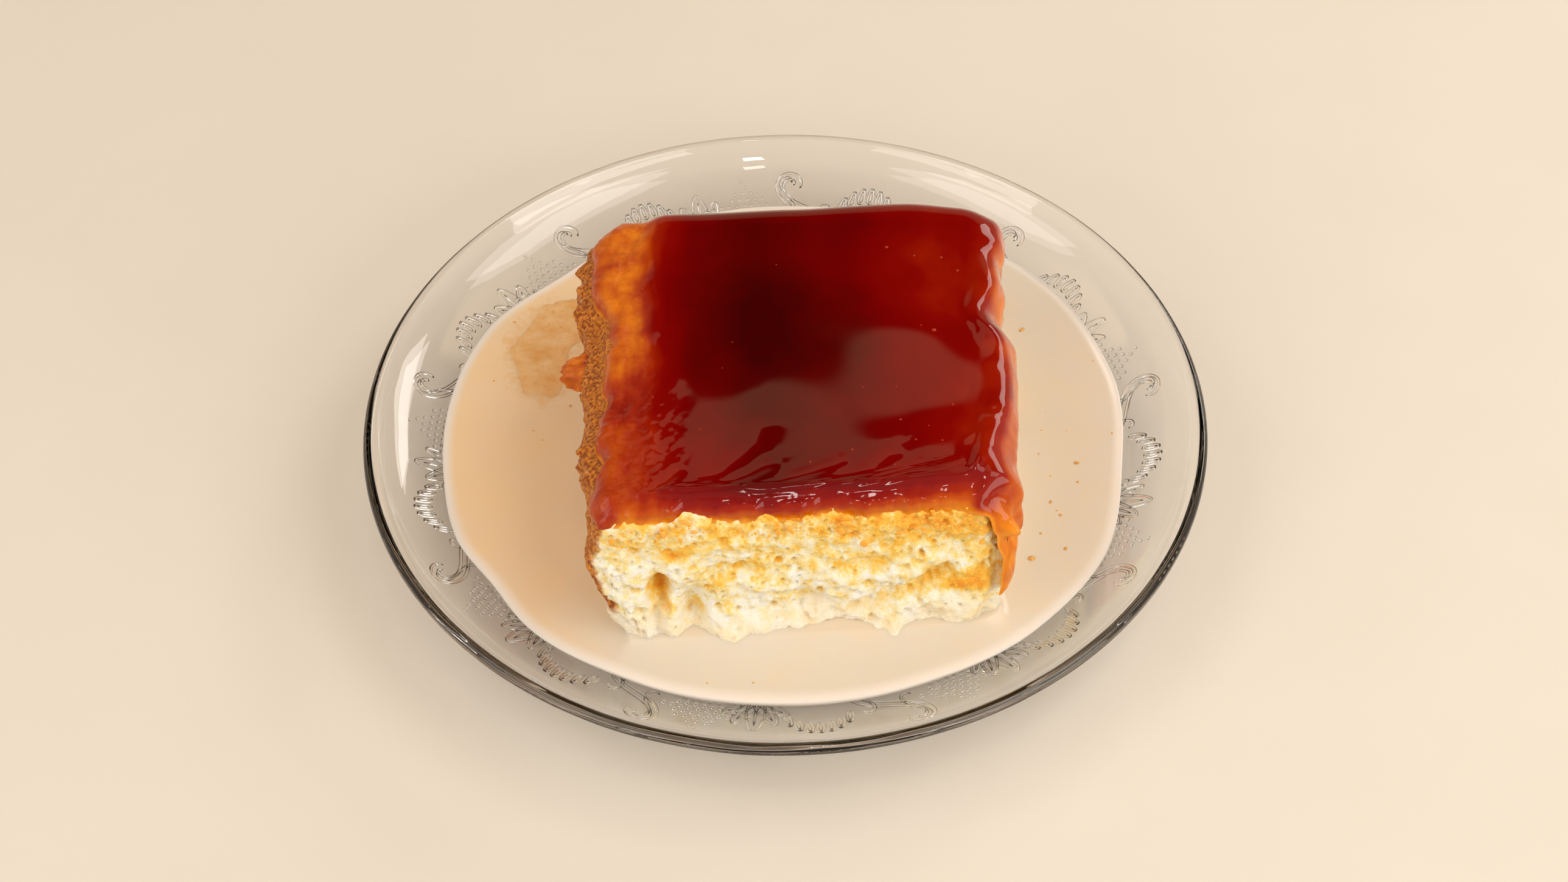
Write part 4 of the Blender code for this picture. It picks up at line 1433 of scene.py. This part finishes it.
@dataclass(frozen=True)
class PeeledFlake:
    """The tongue of crust that has curled away from the left side."""

    form: CakeForm
    along: Pair = (0.0055, 0.011)
    root: float = 0.0445
    reach: float = 0.0082
    thickness: float = 0.0014

    def build(self) -> Thing:
        """Builds the bumpy curled sheet as a closed piece, its root inside the side.

        Returns:
            The finished piece.
        """
        grid = (34, 40)
        t, s = np.meshgrid(np.linspace(0, 1, grid[0]), np.linspace(-1, 1, grid[1]), indexing="ij")
        width = self.along[1] * 0.5 * np.sqrt(np.clip(1 - 0.35 * t ** 2, 0, 1))
        y = self.form.centre[1] + self.along[0] + s * width
        wave = np.stack([t * 0.01, s * 0.01, np.zeros_like(t)], axis=-1)
        edge = 1 - 0.45 * np.maximum(-s, 0) - 0.5 * np.abs(s) ** 3 - 0.3 * lumps(wave, 0.0024, 71, 3)
        out = self.reach * edge * np.sin(t * 1.7) / math.sin(1.7)
        fall = 0.0068 * t ** 1.6
        bumps = 0.0009 * lumps(wave, 0.0017, 72, 3)
        side = self.form.bent(np.full(t.size, -self.form.half[0]), (y - self.form.centre[1]).reshape(-1),
                              np.full(t.size, self.root)).reshape(*t.shape, 3)
        outer = np.stack([side[..., 0] + 0.0008 - out + bumps, y,
                          self.root - fall + out * 0.12 + bumps], axis=-1)
        thick = self.thickness * np.sqrt(np.clip(1 - np.maximum(np.abs(s), t) ** 6, 0.02, 1))
        inner = outer + np.stack([thick * 0.8, np.zeros_like(t), -thick * 0.6], axis=-1)
        points, faces = sealed(inner.reshape(-1, 3), outer.reshape(-1, 3), grid)
        # The root is painted darker: the shade of the crevice where the flake leaves the side.
        root = np.tile((1 - ease(t, 0.05, 0.3)).reshape(-1), 2)
        masks = {"depth": 0.92 + 0.4 * lumps(points, 0.002, 73, 3) + 1.3 * root,
                 "rough": np.ones(len(points))}
        shape = Shape(points, faces, masks)
        return shape.piece("peeled_crust_flake", CaramelFinish().material())


# ---- milk


@dataclass(frozen=True)
class MilkPool:
    """The three milks round the cake: level, held to a wandering edge on the plate's wall."""

    form: CakeForm
    level: float = 0.0147
    rim: Table = ((-172, 0.0822), (-158, 0.083), (-146, 0.0812), (-134, 0.0825), (-115, 0.081),
                  (-92, 0.0803), (-70, 0.0806), (-48, 0.0824), (-30, 0.0832), (-8, 0.0808),
                  (14, 0.0828), (36, 0.084), (62, 0.0826), (90, 0.0818), (118, 0.0812),
                  (134, 0.0796), (154, 0.0832))
    stations: int = 540
    under_cake: float = 0.0045
    into_glass: float = 0.00006
    climb: Pair = (0.0016, 0.0028)
    bead: Pair = (0.003, 0.0004)

    def radius(self, bearing: Array) -> Array:
        """Radius of the pool's edge at bearings in radians.

        Args:
            bearing: Bearings about the plate's axis.

        Returns:
            Radius in metres.
        """
        first, last = self.rim[0], self.rim[-1]
        looped = ((last[0] - 360, last[1]), *self.rim, (first[0] + 360, first[1]))
        return between(looped, np.degrees(bearing))

    def rings(self) -> tuple[Array, Array]:
        """The pool's inner edge, just inside the cake, and its outer edge, at even bearings.

        Returns:
            Two lines of places on the table plane, each with one place a station.
        """
        form = self.form
        core, facing = form.outline((0.001,) * 4, 0.0005)
        flat = core + facing * form.corner
        side = form.bent(flat[:, 0], flat[:, 1], np.full(len(flat), self.level))[:, :2]
        side = side - facing * self.under_cake - form.centre
        turn = np.unwrap(np.arctan2(side[:, 1], side[:, 0]))
        away = np.hypot(side[:, 0], side[:, 1])
        bearings = turn[0] + np.arange(self.stations) / self.stations * 2 * math.pi
        inner = np.interp(bearings, np.append(turn, turn[0] + 2 * math.pi), np.append(away, away[0]))
        way = np.stack([np.cos(bearings), np.sin(bearings)], axis=-1)
        outer = np.full(self.stations, 0.08)
        for _ in range(12):
            place = form.centre + way * outer[:, None]
            outer += self.radius(np.arctan2(place[:, 1], place[:, 0])) - np.hypot(*place.T)
        return form.centre + way * inner[:, None], form.centre + way * outer[:, None]

    def build(self) -> Thing:
        """Builds the pool, closed under the surface, in the place of its solid.

        Returns:
            The finished piece.
        """
        inner, outer = self.rings()
        above = np.sort(np.concatenate([np.linspace(0, 0.1, 8), np.linspace(0.14, 0.86, 26),
                                        1 - np.linspace(0, 0.1, 12)]))
        below = np.linspace(1, 0, 14)
        share = np.concatenate([above, below])[:, None, None]
        flat = inner[None] + (outer - inner)[None] * share
        from_cake = np.linalg.norm(flat - inner[None], axis=-1)
        from_edge = np.linalg.norm(flat - outer[None], axis=-1)
        radius = np.hypot(flat[..., 0], flat[..., 1])
        dish = self.form.dish.height(radius) - self.into_glass
        space = np.concatenate([flat, np.zeros((*flat.shape[:2], 1))], axis=-1)
        off_cake = np.maximum(from_cake - self.under_cake, 0)
        top = self.level + self.climb[0] * np.exp(-off_cake / self.climb[1])
        top = top - self.bead[1] * (1 - ease(from_edge, 0.0, self.bead[0]))
        top = top + 0.00006 * lumps(space, 0.014, 81, 2)
        z = np.where(np.arange(len(share))[:, None] < len(above), np.maximum(top, dish + 0.00012), dish)
        points = np.concatenate([flat, z[..., None]], axis=-1).reshape(-1, 3)
        faces = [lattice(len(share), self.stations, close_rows=True, close_columns=True)]
        masks = self.masks(points, off_cake.reshape(-1), from_edge.reshape(-1))
        piece = Shape(points, faces, masks).piece("sweet_milk", SweetMilkFinish().material())
        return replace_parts(piece, "milk")

    def masks(self, points: Array, off_cake: Array, from_edge: Array) -> dict[str, Array]:
        """Where the milk has caramel stain with painted shade and bounce light, a painted highlight at its
        thin edge, or drowned crust under it.

        Args:
            points: Points of the pool, shape (N, 3).
            off_cake: Distance of each from the cake.
            from_edge: Distance of each from the pool's outer edge.

        Returns:
            The three shares, by name.
        """
        x, y = points[:, 0], points[:, 1]
        left = ease(-x, 0.03, 0.06)
        front = ease(-y, 0.045, 0.072)
        near = np.exp(-off_cake / 0.01)
        right = ease(x, 0.03, 0.06)
        # Painted shade and orange bounce light: warmer on the left and beside the cake, paler to the front
        # and right where the light falls, on top of caramel stain beside the cake.
        stain = 0.55 * left + 0.3 * near * (1 - front) + 0.22 - 0.22 * np.maximum(front, right)
        stain = stain + 0.1 * lumps(points, 0.012, 82, 2)
        # Painted highlight along the pool's thin edge against the glass.
        edge = 1 - ease(from_edge, 0.0004, 0.0032)
        away = np.hypot((x + 0.059) / 0.0105, (y - 0.029) / 0.0185)
        sunk = 1 - ease(away + 0.25 * lumps(points, 0.004, 83, 2), 0.75, 1.25)
        return {"stain": np.clip(stain, 0, 1), "edge": edge, "sunk": 0.55 * sunk}


@dataclass(frozen=True)
class SunkenFlake:
    """A flake of crust lying in the milk on the left, just under its surface and partly proud."""

    milk: MilkPool
    outline: Table = ((-0.0608, 0.0459), (-0.0524, 0.0475), (-0.0505, 0.0431), (-0.05, 0.0333),
                      (-0.0527, 0.03), (-0.0531, 0.0246), (-0.052, 0.0194), (-0.0539, 0.0156),
                      (-0.0562, 0.0118), (-0.0612, 0.0134), (-0.0631, 0.0129), (-0.0649, 0.0166),
                      (-0.067, 0.0248), (-0.0686, 0.029), (-0.0654, 0.0353), (-0.0633, 0.0397))
    spacing: float = 0.00035
    proud: float = 0.00032
    below: float = 0.0016

    def build(self) -> Thing:
        """Builds the flake as a thin lens whose rough edge dips into the milk.

        Returns:
            The finished piece.
        """
        loop = np.array(self.outline + self.outline[:1])
        edge = smooth_line(loop, self.spacing)[:-1]
        middle = edge.mean(axis=0)
        shares = np.concatenate([np.linspace(0.04, 0.9, 30), [0.95, 0.98, 1.0]])
        ripple = 1 + 0.05 * lumps(np.column_stack([edge, np.zeros(len(edge))]), 0.0018, 91, 2)
        flat = middle + (edge - middle)[None] * shares[:, None, None] * ripple[None, :, None]
        space = np.concatenate([flat, np.zeros((*flat.shape[:2], 1))], axis=-1)
        rise = self.proud * (1 - shares ** 8)[:, None] * (1 + 0.3 * lumps(space, 0.003, 92, 3)) - 0.0001
        top = np.concatenate([flat, (self.milk.level + rise)[..., None]], axis=-1)
        low = np.concatenate([flat, np.full((*flat.shape[:2], 1), self.milk.level - self.below)], axis=-1)
        around, count = len(edge), len(shares)
        points = np.vstack([top.reshape(-1, 3), low[::-1].reshape(-1, 3),
                            [[*middle, self.milk.level + 0.6 * self.proud]],
                            [[*middle, self.milk.level - self.below]]])
        ring = np.arange(around)
        faces = [lattice(2 * count, around, close_columns=True)[:, ::-1],
                 fan(ring, 2 * count * around),
                 fan((ring + (2 * count - 1) * around)[::-1], 2 * count * around + 1)]
        return Shape(points, faces).piece("sunken_crust_flake", DrownedCrustFinish().material())


@dataclass(frozen=True)
class FloatingCrumbs:
    """Crumbs of toasted crust adrift in the milk, most of them on the right."""

    milk: MilkPool
    seed: int = 19
    spots: tuple[Triple, ...] = (
        (0.0619, 0.0391, 0.4), (0.0596, 0.0337, 1.1), (0.0763, 0.0225, 0.5), (0.0616, -0.0007, 0.6),
        (0.0676, -0.001, 0.4), (0.0603, -0.0084, 0.6), (0.0692, -0.0114, 0.9), (0.0625, -0.0154, 0.5),
        (0.0689, -0.0174, 0.6), (0.0619, -0.0236, 0.8), (0.0631, -0.0262, 0.4), (0.0638, -0.0277, 0.7),
        (0.0587, -0.0332, 0.6), (0.0641, -0.0378, 0.8), (0.0561, -0.0407, 1.2), (0.0535, -0.0431, 0.5),
        (0.0785, -0.0019, 0.5), (-0.0677, 0.0392, 0.6), (-0.0714, 0.0188, 0.5), (-0.0522, 0.0097, 0.7),
        (-0.0607, 0.0018, 0.5), (-0.0583, -0.0014, 0.4), (-0.018, -0.0749, 0.5), (-0.0014, -0.0642, 0.6),
        (-0.003, -0.0651, 0.5), (-0.0079, -0.075, 0.5), (0.0045, -0.0744, 0.4),
    )
    dust: int = 46

    def build(self) -> Thing:
        """Builds every crumb as one piece, each sunk past its middle.

        Returns:
            The finished piece.
        """
        draw = np.random.default_rng(self.seed)
        spots = list(self.spots)
        while len(spots) < len(self.spots) + self.dust:
            bearing, reach = draw.uniform(-2.2, 1.2), draw.uniform(0.062, 0.078)
            x, y = reach * math.cos(bearing), reach * math.sin(bearing)
            if x > 0.056 or y < -0.066:
                spots.append((x, y, draw.uniform(0.14, 0.34)))
        ball, faces = pebble(5, 9)
        shapes = []
        for x, y, size in spots:
            turn, stretch = draw.uniform(0, math.pi), draw.uniform(0.55, 1.0)
            crumb = ball * (1 + 0.3 * lumps(ball + draw.uniform(0, 50, 3), 0.7, 95))[:, None]
            crumb = crumb * size * 0.8 * MM * np.array([1.0, stretch, 0.5])
            cos, sin = math.cos(turn), math.sin(turn)
            spun = crumb[:, :2] @ np.array([[cos, sin], [-sin, cos]])
            crumb = np.column_stack([spun, crumb[:, 2]]) + (x, y, self.milk.level - 0.00012)
            shapes.append(Shape(crumb, faces))
        return Shape.joined(shapes).piece("floating_crumbs", ToastedCrumbFinish().material())


# ---- plate


@dataclass(frozen=True)
class PressedPlate:
    """The clear glass dish, turned from its section, with a foot ring and a rounded lip."""

    dish: DishForm
    steps: int = 300
    foot: Pair = (0.055, 0.06)
    foot_bevel: float = 0.0008
    rim_wobble: float = 0.00012

    def section(self) -> Array:
        """Half section from the middle of the floor out, round the lip and back underneath.

        Returns:
            Its points, as (radius, height).
        """
        dish = self.dish
        inner = np.concatenate([[0.0, 0.02, 0.04, 0.055], np.linspace(0.0605, 0.0955, 52)])
        profile = [np.stack([inner, dish.height(inner)], axis=-1)]
        turn = np.radians(np.linspace(160, -50, 16))
        lip = (dish.rim_radius - dish.lip_radius, dish.rim_top - dish.lip_radius)
        profile.append(np.stack([lip[0] + dish.lip_radius * np.cos(turn),
                                 lip[1] + dish.lip_radius * np.sin(turn)], axis=-1))
        under = np.linspace(0.0972, 0.0625, 40)
        profile.append(np.stack([under, dish.underside(under)], axis=-1))
        low = dish.floor_height - dish.thickness * 1.15
        inside, outside = self.foot
        bevel = self.foot_bevel
        profile.append(np.array([
            (outside + bevel, low - 0.0006), (outside + 0.25 * bevel, 0.002), (outside, bevel),
            (outside - 0.3 * bevel, 0.3 * bevel), (outside - bevel, 0.0), (inside + bevel, 0.0),
            (inside + 0.3 * bevel, 0.3 * bevel), (inside, bevel), (inside - 0.25 * bevel, 0.002),
            (inside - bevel, low), (0.03, low), (0.0, low),
        ]))
        return np.vstack(profile)

    def build(self) -> Thing:
        """Builds the glass, closed over both middles, in the place of its solid.

        Returns:
            The finished piece.
        """
        section = self.section()
        inside = section[1:-1]
        turn = np.arange(self.steps) * 2 * math.pi / self.steps
        radius, z = inside[:, 0][:, None], inside[:, 1][:, None]
        space = np.stack([radius * np.cos(turn), radius * np.sin(turn), z * np.ones_like(turn)], axis=-1)
        wobble = self.rim_wobble * ease(radius, 0.09, 0.098) * lumps(space, 0.011, 101, 2)
        space[..., 2] += wobble
        points = np.vstack([space.reshape(-1, 3), [[0, 0, section[0][1]]], [[0, 0, section[-1][1]]]])
        ring, count = np.arange(self.steps), len(inside)
        faces = [lattice(count, self.steps, close_columns=True)[:, ::-1],
                 fan(ring, count * self.steps),
                 fan((ring + (count - 1) * self.steps)[::-1], count * self.steps + 1)]
        piece = Shape(points, faces).piece("glass_plate", PressedGlassFinish().material())
        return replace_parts(piece, "plate")


class Motif(Enum):
    """The ornament's repeating elements."""

    SCROLL = "scroll"
    LEAF = "leaf"
    DOTS = "dots"
    PETALS = "petals"


@dataclass(frozen=True)
class PressedOrnament:
    """Traditional pressed relief under the plate's wall: scrolls, leaf sprays, rows of petals and
    fields of dots, in even repeats."""

    dish: DishForm
    repeats: int = 9
    middle: float = 0.0835
    line: Pair = (0.00042, 0.00036)
    rail_gap: float = 0.00085
    dot: Pair = (0.00056, 0.00045)
    pitch: float = 0.002
    sunk: float = 0.00008
    # Where in each repeat the elements lie.
    places: tuple[tuple[Motif, float], ...] = (
        (Motif.SCROLL, 0.14), (Motif.DOTS, 0.4), (Motif.LEAF, 0.62), (Motif.PETALS, 0.86))

    def wall(self, along: Array, radius: Array) -> tuple[Array, Array]:
        """Places on the wall's underside, and the way out of it.

        Args:
            along: Distance round the wall at its middle radius.
            radius: Distance from the plate's axis.

        Returns:
            The places, and the unit vector out of the glass at each.
        """
        bearing = along / self.middle
        step = 0.0002
        slope = (self.dish.underside(radius + step) - self.dish.underside(radius - step)) / (2 * step)
        flat = np.stack([np.cos(bearing), np.sin(bearing)], axis=-1)
        places = np.column_stack([flat * radius[:, None], self.dish.underside(radius)])
        out = np.column_stack([flat * slope[:, None], -np.ones(len(radius))])
        return places, out / np.linalg.norm(out, axis=1)[:, None]

    def ridge(self, path: Array, scale: float = 1.0) -> Shape:
        """A raised line along a path.

        Args:
            path: Its points, as (along, radius).
            scale: Size of its section beside the usual one.

        Returns:
            The line, sunk a little into the glass.
        """
        places, out = self.wall(path[:, 0], path[:, 1])
        run = np.gradient(places, axis=0)
        side = np.cross(out, run)
        side /= np.linalg.norm(side, axis=1)[:, None]
        half, high = self.line[0] * scale, self.line[1] * scale
        turn = np.linspace(0, math.pi, 6)
        outline = np.column_stack([half * np.cos(turn), high * np.sin(turn) - self.sunk])
        return tube(places, side, out, outline)

    def rails(self, path: Array) -> list[Shape]:
        """Two raised lines side by side along a path.

        Args:
            path: Its points, as (along, radius).

        Returns:
            The two lines.
        """
        run = np.gradient(path, axis=0)
        side = np.column_stack([-run[:, 1], run[:, 0]]) / np.linalg.norm(run, axis=1)[:, None]
        return [self.ridge(path + side * self.rail_gap), self.ridge(path - side * self.rail_gap)]

    def scroll(self, start: Array, heading: float, length: float, curl: float,
               power: float = 2.4) -> Array:
        """A curve that winds up at both ends, the two curls facing opposite ways.

        Args:
            start: Where the curve's middle lies, as (along, radius).
            heading: Its direction there, in radians.
            length: Its length, in metres.
            curl: How far each end turns, in radians.
            power: How late the turning comes.

        Returns:
            The curve's points.
        """
        t = np.linspace(-1, 1, int(length / 0.0006))
        turned = heading + curl * np.sign(t) * np.abs(t) ** power * np.sign(t)
        step = length / (len(t) - 1)
        path = np.column_stack([np.cumsum(np.cos(turned)), np.cumsum(np.sin(turned))]) * step
        return path - path[len(path) // 2] + start

    def leaf(self, root: Array, heading: float, length: float) -> list[Shape]:
        """A pointed leaf's outline and its midrib.

        Args:
            root: Where the leaf starts, as (along, radius).
            heading: The way it points, in radians.
            length: Its length, in metres.

        Returns:
            The two raised lines.
        """
        t = np.linspace(0, 2 * math.pi, int(length / 0.0003))
        width = 0.17 * length * np.sin(t) * (1 + 0.25 * np.cos(t))
        forward = length * (1 - np.cos(t)) / 2
        way = np.array([math.cos(heading), math.sin(heading)])
        across = np.array([-way[1], way[0]])
        outline = root + forward[:, None] * way + width[:, None] * across
        rib = root + np.linspace(0.15, 0.85, 12)[:, None] * length * way
        return [self.ridge(outline, 0.8), self.ridge(rib, 0.8)]

    def dots(self, middle: Array, columns: int, rows: int) -> list[Shape]:
        """A diamond of dots in staggered rows.

        Args:
            middle: Its middle, as (along, radius).
            columns: Columns on each side of the middle.
            rows: Rows on each side of the middle.

        Returns:
            One shape for each dot.
        """
        ball, faces = pebble(4, 8)
        found = []
        for i, j in itertools.product(range(-columns, columns + 1), range(-rows, rows + 1)):
            if abs(i) / columns + abs(j) / rows <= 1.0:
                at = middle + np.array([(i + 0.5 * (j % 2)) * self.pitch, j * self.pitch * 0.8])
                places, out = self.wall(at[None, 0], at[None, 1])
                shape = ball * np.array([self.dot[0], self.dot[0], self.dot[1]])
                found.append(Shape(shape + places[0] + out[0] * 0.00005, faces))
        return found

    def motif(self, kind: Motif, along: float) -> list[Shape]:
        """One element of the ornament.

        Args:
            kind: Which element.
            along: Distance of its middle round the wall.

        Returns:
            Its raised lines or dots.
        """
        at = np.array([along, self.middle])
        if kind is Motif.SCROLL:
            return [*self.rails(self.scroll(at, 0.35, 0.036, 4.8)),
                    *(self.ridge(self.scroll(at + (x, y), 0.9, 0.017, 3.8))
                      for x, y in ((0.005, 0.0035), (-0.005, -0.0035)))]
        if kind is Motif.LEAF:
            root = at + (0.0, -0.0062)
            return [shape for k in (-2, -1, 0, 1, 2)
                    for shape in self.leaf(root, math.pi / 2 + 0.45 * k, 0.012 - 0.0014 * abs(k))]
        if kind is Motif.PETALS:
            return [shape for k in range(-3, 4)
                    for shape in self.leaf(at + (0.0024 * k, 0.003 - 0.00035 * k * k),
                                           math.pi / 2 + 0.08 * k, 0.0042)]
        return self.dots(at, 4, 5)

    def build(self) -> Thing:
        """Builds the whole ornament as one piece on the plate.

        Returns:
            The finished piece.
        """
        around = 2 * math.pi * self.middle
        shapes: list[Shape] = []
        for repeat in range(self.repeats):
            start = around * repeat / self.repeats
            for kind, share in self.places:
                shapes += self.motif(kind, start + around / self.repeats * share)
        return Shape.joined(shapes).piece("pressed_ornament", PressedGlassFinish().material())


# ---- studio


@dataclass(frozen=True)
class Softbox:
    """One soft light: a bright panel that faces a point on the table."""

    name: str
    azimuth: float
    elevation: float
    distance: float
    size: Pair
    glow: float
    warmth: str = "#fffaf3"
    aim: Triple = (0.0, -0.01, 0.03)

    def build(self) -> None:
        """Hangs the light; glow is the panel's own brightness, whatever its size."""
        data = bpy.data.lights.new(self.name, "AREA")
        data.shape = "RECTANGLE"
        data.size, data.size_y = self.size
        data.energy = self.glow * math.pi * self.size[0] * self.size[1]
        data.color = linear(self.warmth)[:3]
        lamp = bpy.data.objects.new(self.name, data)
        turn, rise = math.radians(self.azimuth), math.radians(self.elevation)
        way = np.array([math.sin(turn) * math.cos(rise), math.cos(turn) * math.cos(rise), math.sin(rise)])
        lamp.location = np.array(self.aim) + way * self.distance
        lamp.rotation_euler = (math.pi / 2 - rise, 0.0, math.pi - turn)
        bpy.context.scene.collection.objects.link(lamp)


@dataclass(frozen=True)
class Studio:
    """Pale table, soft panels and the camera that looks down on the cake."""

    lens: float = 4000 / 2576 * 36
    depression: float = 47.35
    roll: float = -0.87
    distance: float = 0.5717
    aim: Triple = (-0.00031, -0.01143, 0.024)
    table: float = 6.0
    paint: tuple[str, str] = ("#ded6ca", "#e2dbd0")
    cloud_size: float = 40 * MM
    softboxes: tuple[Softbox, ...] = (
        Softbox("key", 128.0, 22.0, 1.3, (1.1, 0.7), 3.5),
        Softbox("fill", -130.0, 22.0, 1.3, (1.0, 0.6), 2.6),
        Softbox("overhead_right", 96.0, 56.0, 1.2, (0.8, 0.5), 2.6),
        Softbox("overhead_left", -104.0, 54.0, 1.2, (0.7, 0.5), 2.0),
        Softbox("back_right", 42.0, 28.0, 1.2, (0.55, 0.3), 4.5),
        Softbox("glint", 168.0, 66.0, 0.9, (0.06, 0.06), 20.0),
    )
    zenith: float = 0.38
    sheen: float = 1.05
    dusk: float = 0.035
    walls: float = 0.58
    zenith_start: Pair = (62.0, 74.0)
    sheen_start: Pair = (46.1, 47.5)
    dusk_start: Pair = (28.0, 36.0)
    patch_width: Pair = (34.0, 56.0)
    patch_back: Pair = (5.0, 22.0)
    # Colour of the room's light, of the light from the dim patch, and of the backdrop.
    tints: tuple[str, str, str] = ("#fff2e2", "#ffd9ae", "#e6e0d8")
    backdrop: float = 0.8

    def floor(self) -> None:
        """A pale plaster-white table top."""
        paint = Surface("pale_table_painted", {"Roughness": 0.6})
        cloud = paint.add(NOISE, {"Vector": paint.places, "Scale": 1 / self.cloud_size, "Detail": 3.0})
        tone = paint.add(MIX, {"Factor": cloud, "A": self.paint[0], "B": self.paint[1]}, data_type="RGBA")
        paint.wear({"Base Color": tone})
        half = self.table / 2
        mesh = bpy.data.meshes.new("table_top")
        corners = [(-half, -half, 0.0), (half, -half, 0.0), (half, half, 0.0), (-half, half, 0.0)]
        mesh.from_pydata(corners, [], [(0, 1, 2, 3)])
        mesh.materials.append(paint.material)
        top = bpy.data.objects.new("table_top", mesh)
        bpy.context.scene.collection.objects.link(top)

    def camera(self) -> None:
        """The camera, looking down on the cake from the front. The camera, at the angle
        from which the cake is judged.
        """
        data = bpy.data.cameras.new("camera")
        data.lens = self.lens
        data.sensor_width = 36.0
        data.clip_start = 0.01
        eye = bpy.data.objects.new("camera", data)
        tilt = math.radians(self.depression)
        eye.location = np.array(self.aim) - self.distance * np.array([0.0, math.cos(tilt), -math.sin(tilt)])
        eye.rotation_euler = (math.pi / 2 - tilt, 0.0, 0.0)
        eye.rotation_euler.rotate_axis("Z", math.radians(self.roll))
        bpy.context.scene.collection.objects.link(eye)
        bpy.context.scene.camera = eye

    def world(self) -> None:
        """A soft room: bright overhead and all round, with one dim patch behind the cake, where the
        caramel's own colour shows; and a pale backdrop where the view passes the table."""
        world = bpy.data.worlds.new("studio")
        world.use_nodes = True
        tree = world.node_tree
        tree.nodes.clear()
        way = add_node(tree, "ShaderNodeTexCoord", {}, out="Generated")
        across, back, rise = (add_node(tree, "ShaderNodeSeparateXYZ", {0: way}, out=axis)
                              for axis in "XYZ")

        def step(value: Socket, angles: Pair, low: float,
                 high: float) -> Socket:
            """A soft change of glow between two elevations.

            Args:
                value: One component of the way looked at.
                angles: The two elevations, in degrees.
                low: Glow at the first.
                high: Glow at the second.

            Returns:
                The glow.
            """
            start, end = (math.sin(math.radians(angle)) for angle in angles)
            return add_node(tree, RANGE, {"Value": value, "From Min": start, "From Max": end,
                                          "To Min": low, "To Max": high},
                            interpolation_type="SMOOTHSTEP")

        overhead = step(rise, self.zenith_start, 0.0, self.zenith - self.walls)
        room = add_node(tree, MATHS, {0: overhead, 1: self.walls}, operation="ADD")
        wall = step(rise, self.dusk_start, self.walls, self.dusk)
        sheen = step(rise, self.sheen_start, 0.0, self.sheen - self.dusk)
        top = step(rise, self.zenith_start, 0.0, self.zenith - self.sheen)
        dim = add_node(tree, MATHS, {0: wall, 1: sheen}, operation="ADD")
        dim = add_node(tree, MATHS, {0: dim, 1: top}, operation="ADD")
        aside = add_node(tree, MATHS, {0: across}, operation="ABSOLUTE")
        middle = step(aside, self.patch_width, 1.0, 0.0)
        behind = step(back, self.patch_back, 0.0, 1.0)
        patch = add_node(tree, MATHS, {0: middle, 1: behind}, operation="MULTIPLY")
        glow = add_node(tree, MIX, {"Factor": patch, "A": room, "B": dim}, data_type="FLOAT")
        warm = add_node(tree, MIX, {"Factor": patch, "A": self.tints[0], "B": self.tints[1]},
                        data_type="RGBA")
        light = add_node(tree, "ShaderNodeBackground", {"Color": warm, "Strength": glow})
        seen = add_node(tree, "ShaderNodeLightPath", {}, out="Is Camera Ray")
        pale = add_node(tree, "ShaderNodeBackground", {"Color": self.tints[2], "Strength": self.backdrop})
        both = add_node(tree, "ShaderNodeMixShader", {0: seen, 1: light, 2: pale})
        add_node(tree, "ShaderNodeOutputWorld", {"Surface": both})
        bpy.context.scene.world = world

    def build(self) -> None:
        """Sets up everything that isn't part of the cake."""
        self.camera()
        self.floor()
        self.world()
        for softbox in self.softboxes:
            softbox.build()
        bpy.context.scene.view_settings.view_transform = "Standard"


# ---- assembly


def main() -> None:
    """Builds the studio and every piece in order."""
    logging.basicConfig(level=logging.INFO, format="%(name)s %(message)s")
    Studio().build()
    dish = DishForm()
    form = CakeForm(dish)
    milk = MilkPool(form)
    glaze = CaramelGlaze(form)
    parts = [
        (PressedPlate(dish), "plate"), (PressedOrnament(dish), "plate"),
        (milk, "milk"), (SunkenFlake(milk), "sponge"), (FloatingCrumbs(milk), "sponge"),
        (SoakedSponge(form), "sponge"), (glaze, "caramel_glaze"), (PeeledFlake(form), "caramel_glaze"),
        (GlazeBubbles(glaze), "caramel_glaze"), (SyrupDrops(glaze), "caramel_glaze"),
    ]
    for part, slot in parts:
        piece = part.build()
        LOG.info("%s rides on %s", piece.name, BODY)


if __name__ == "__main__":
    main()
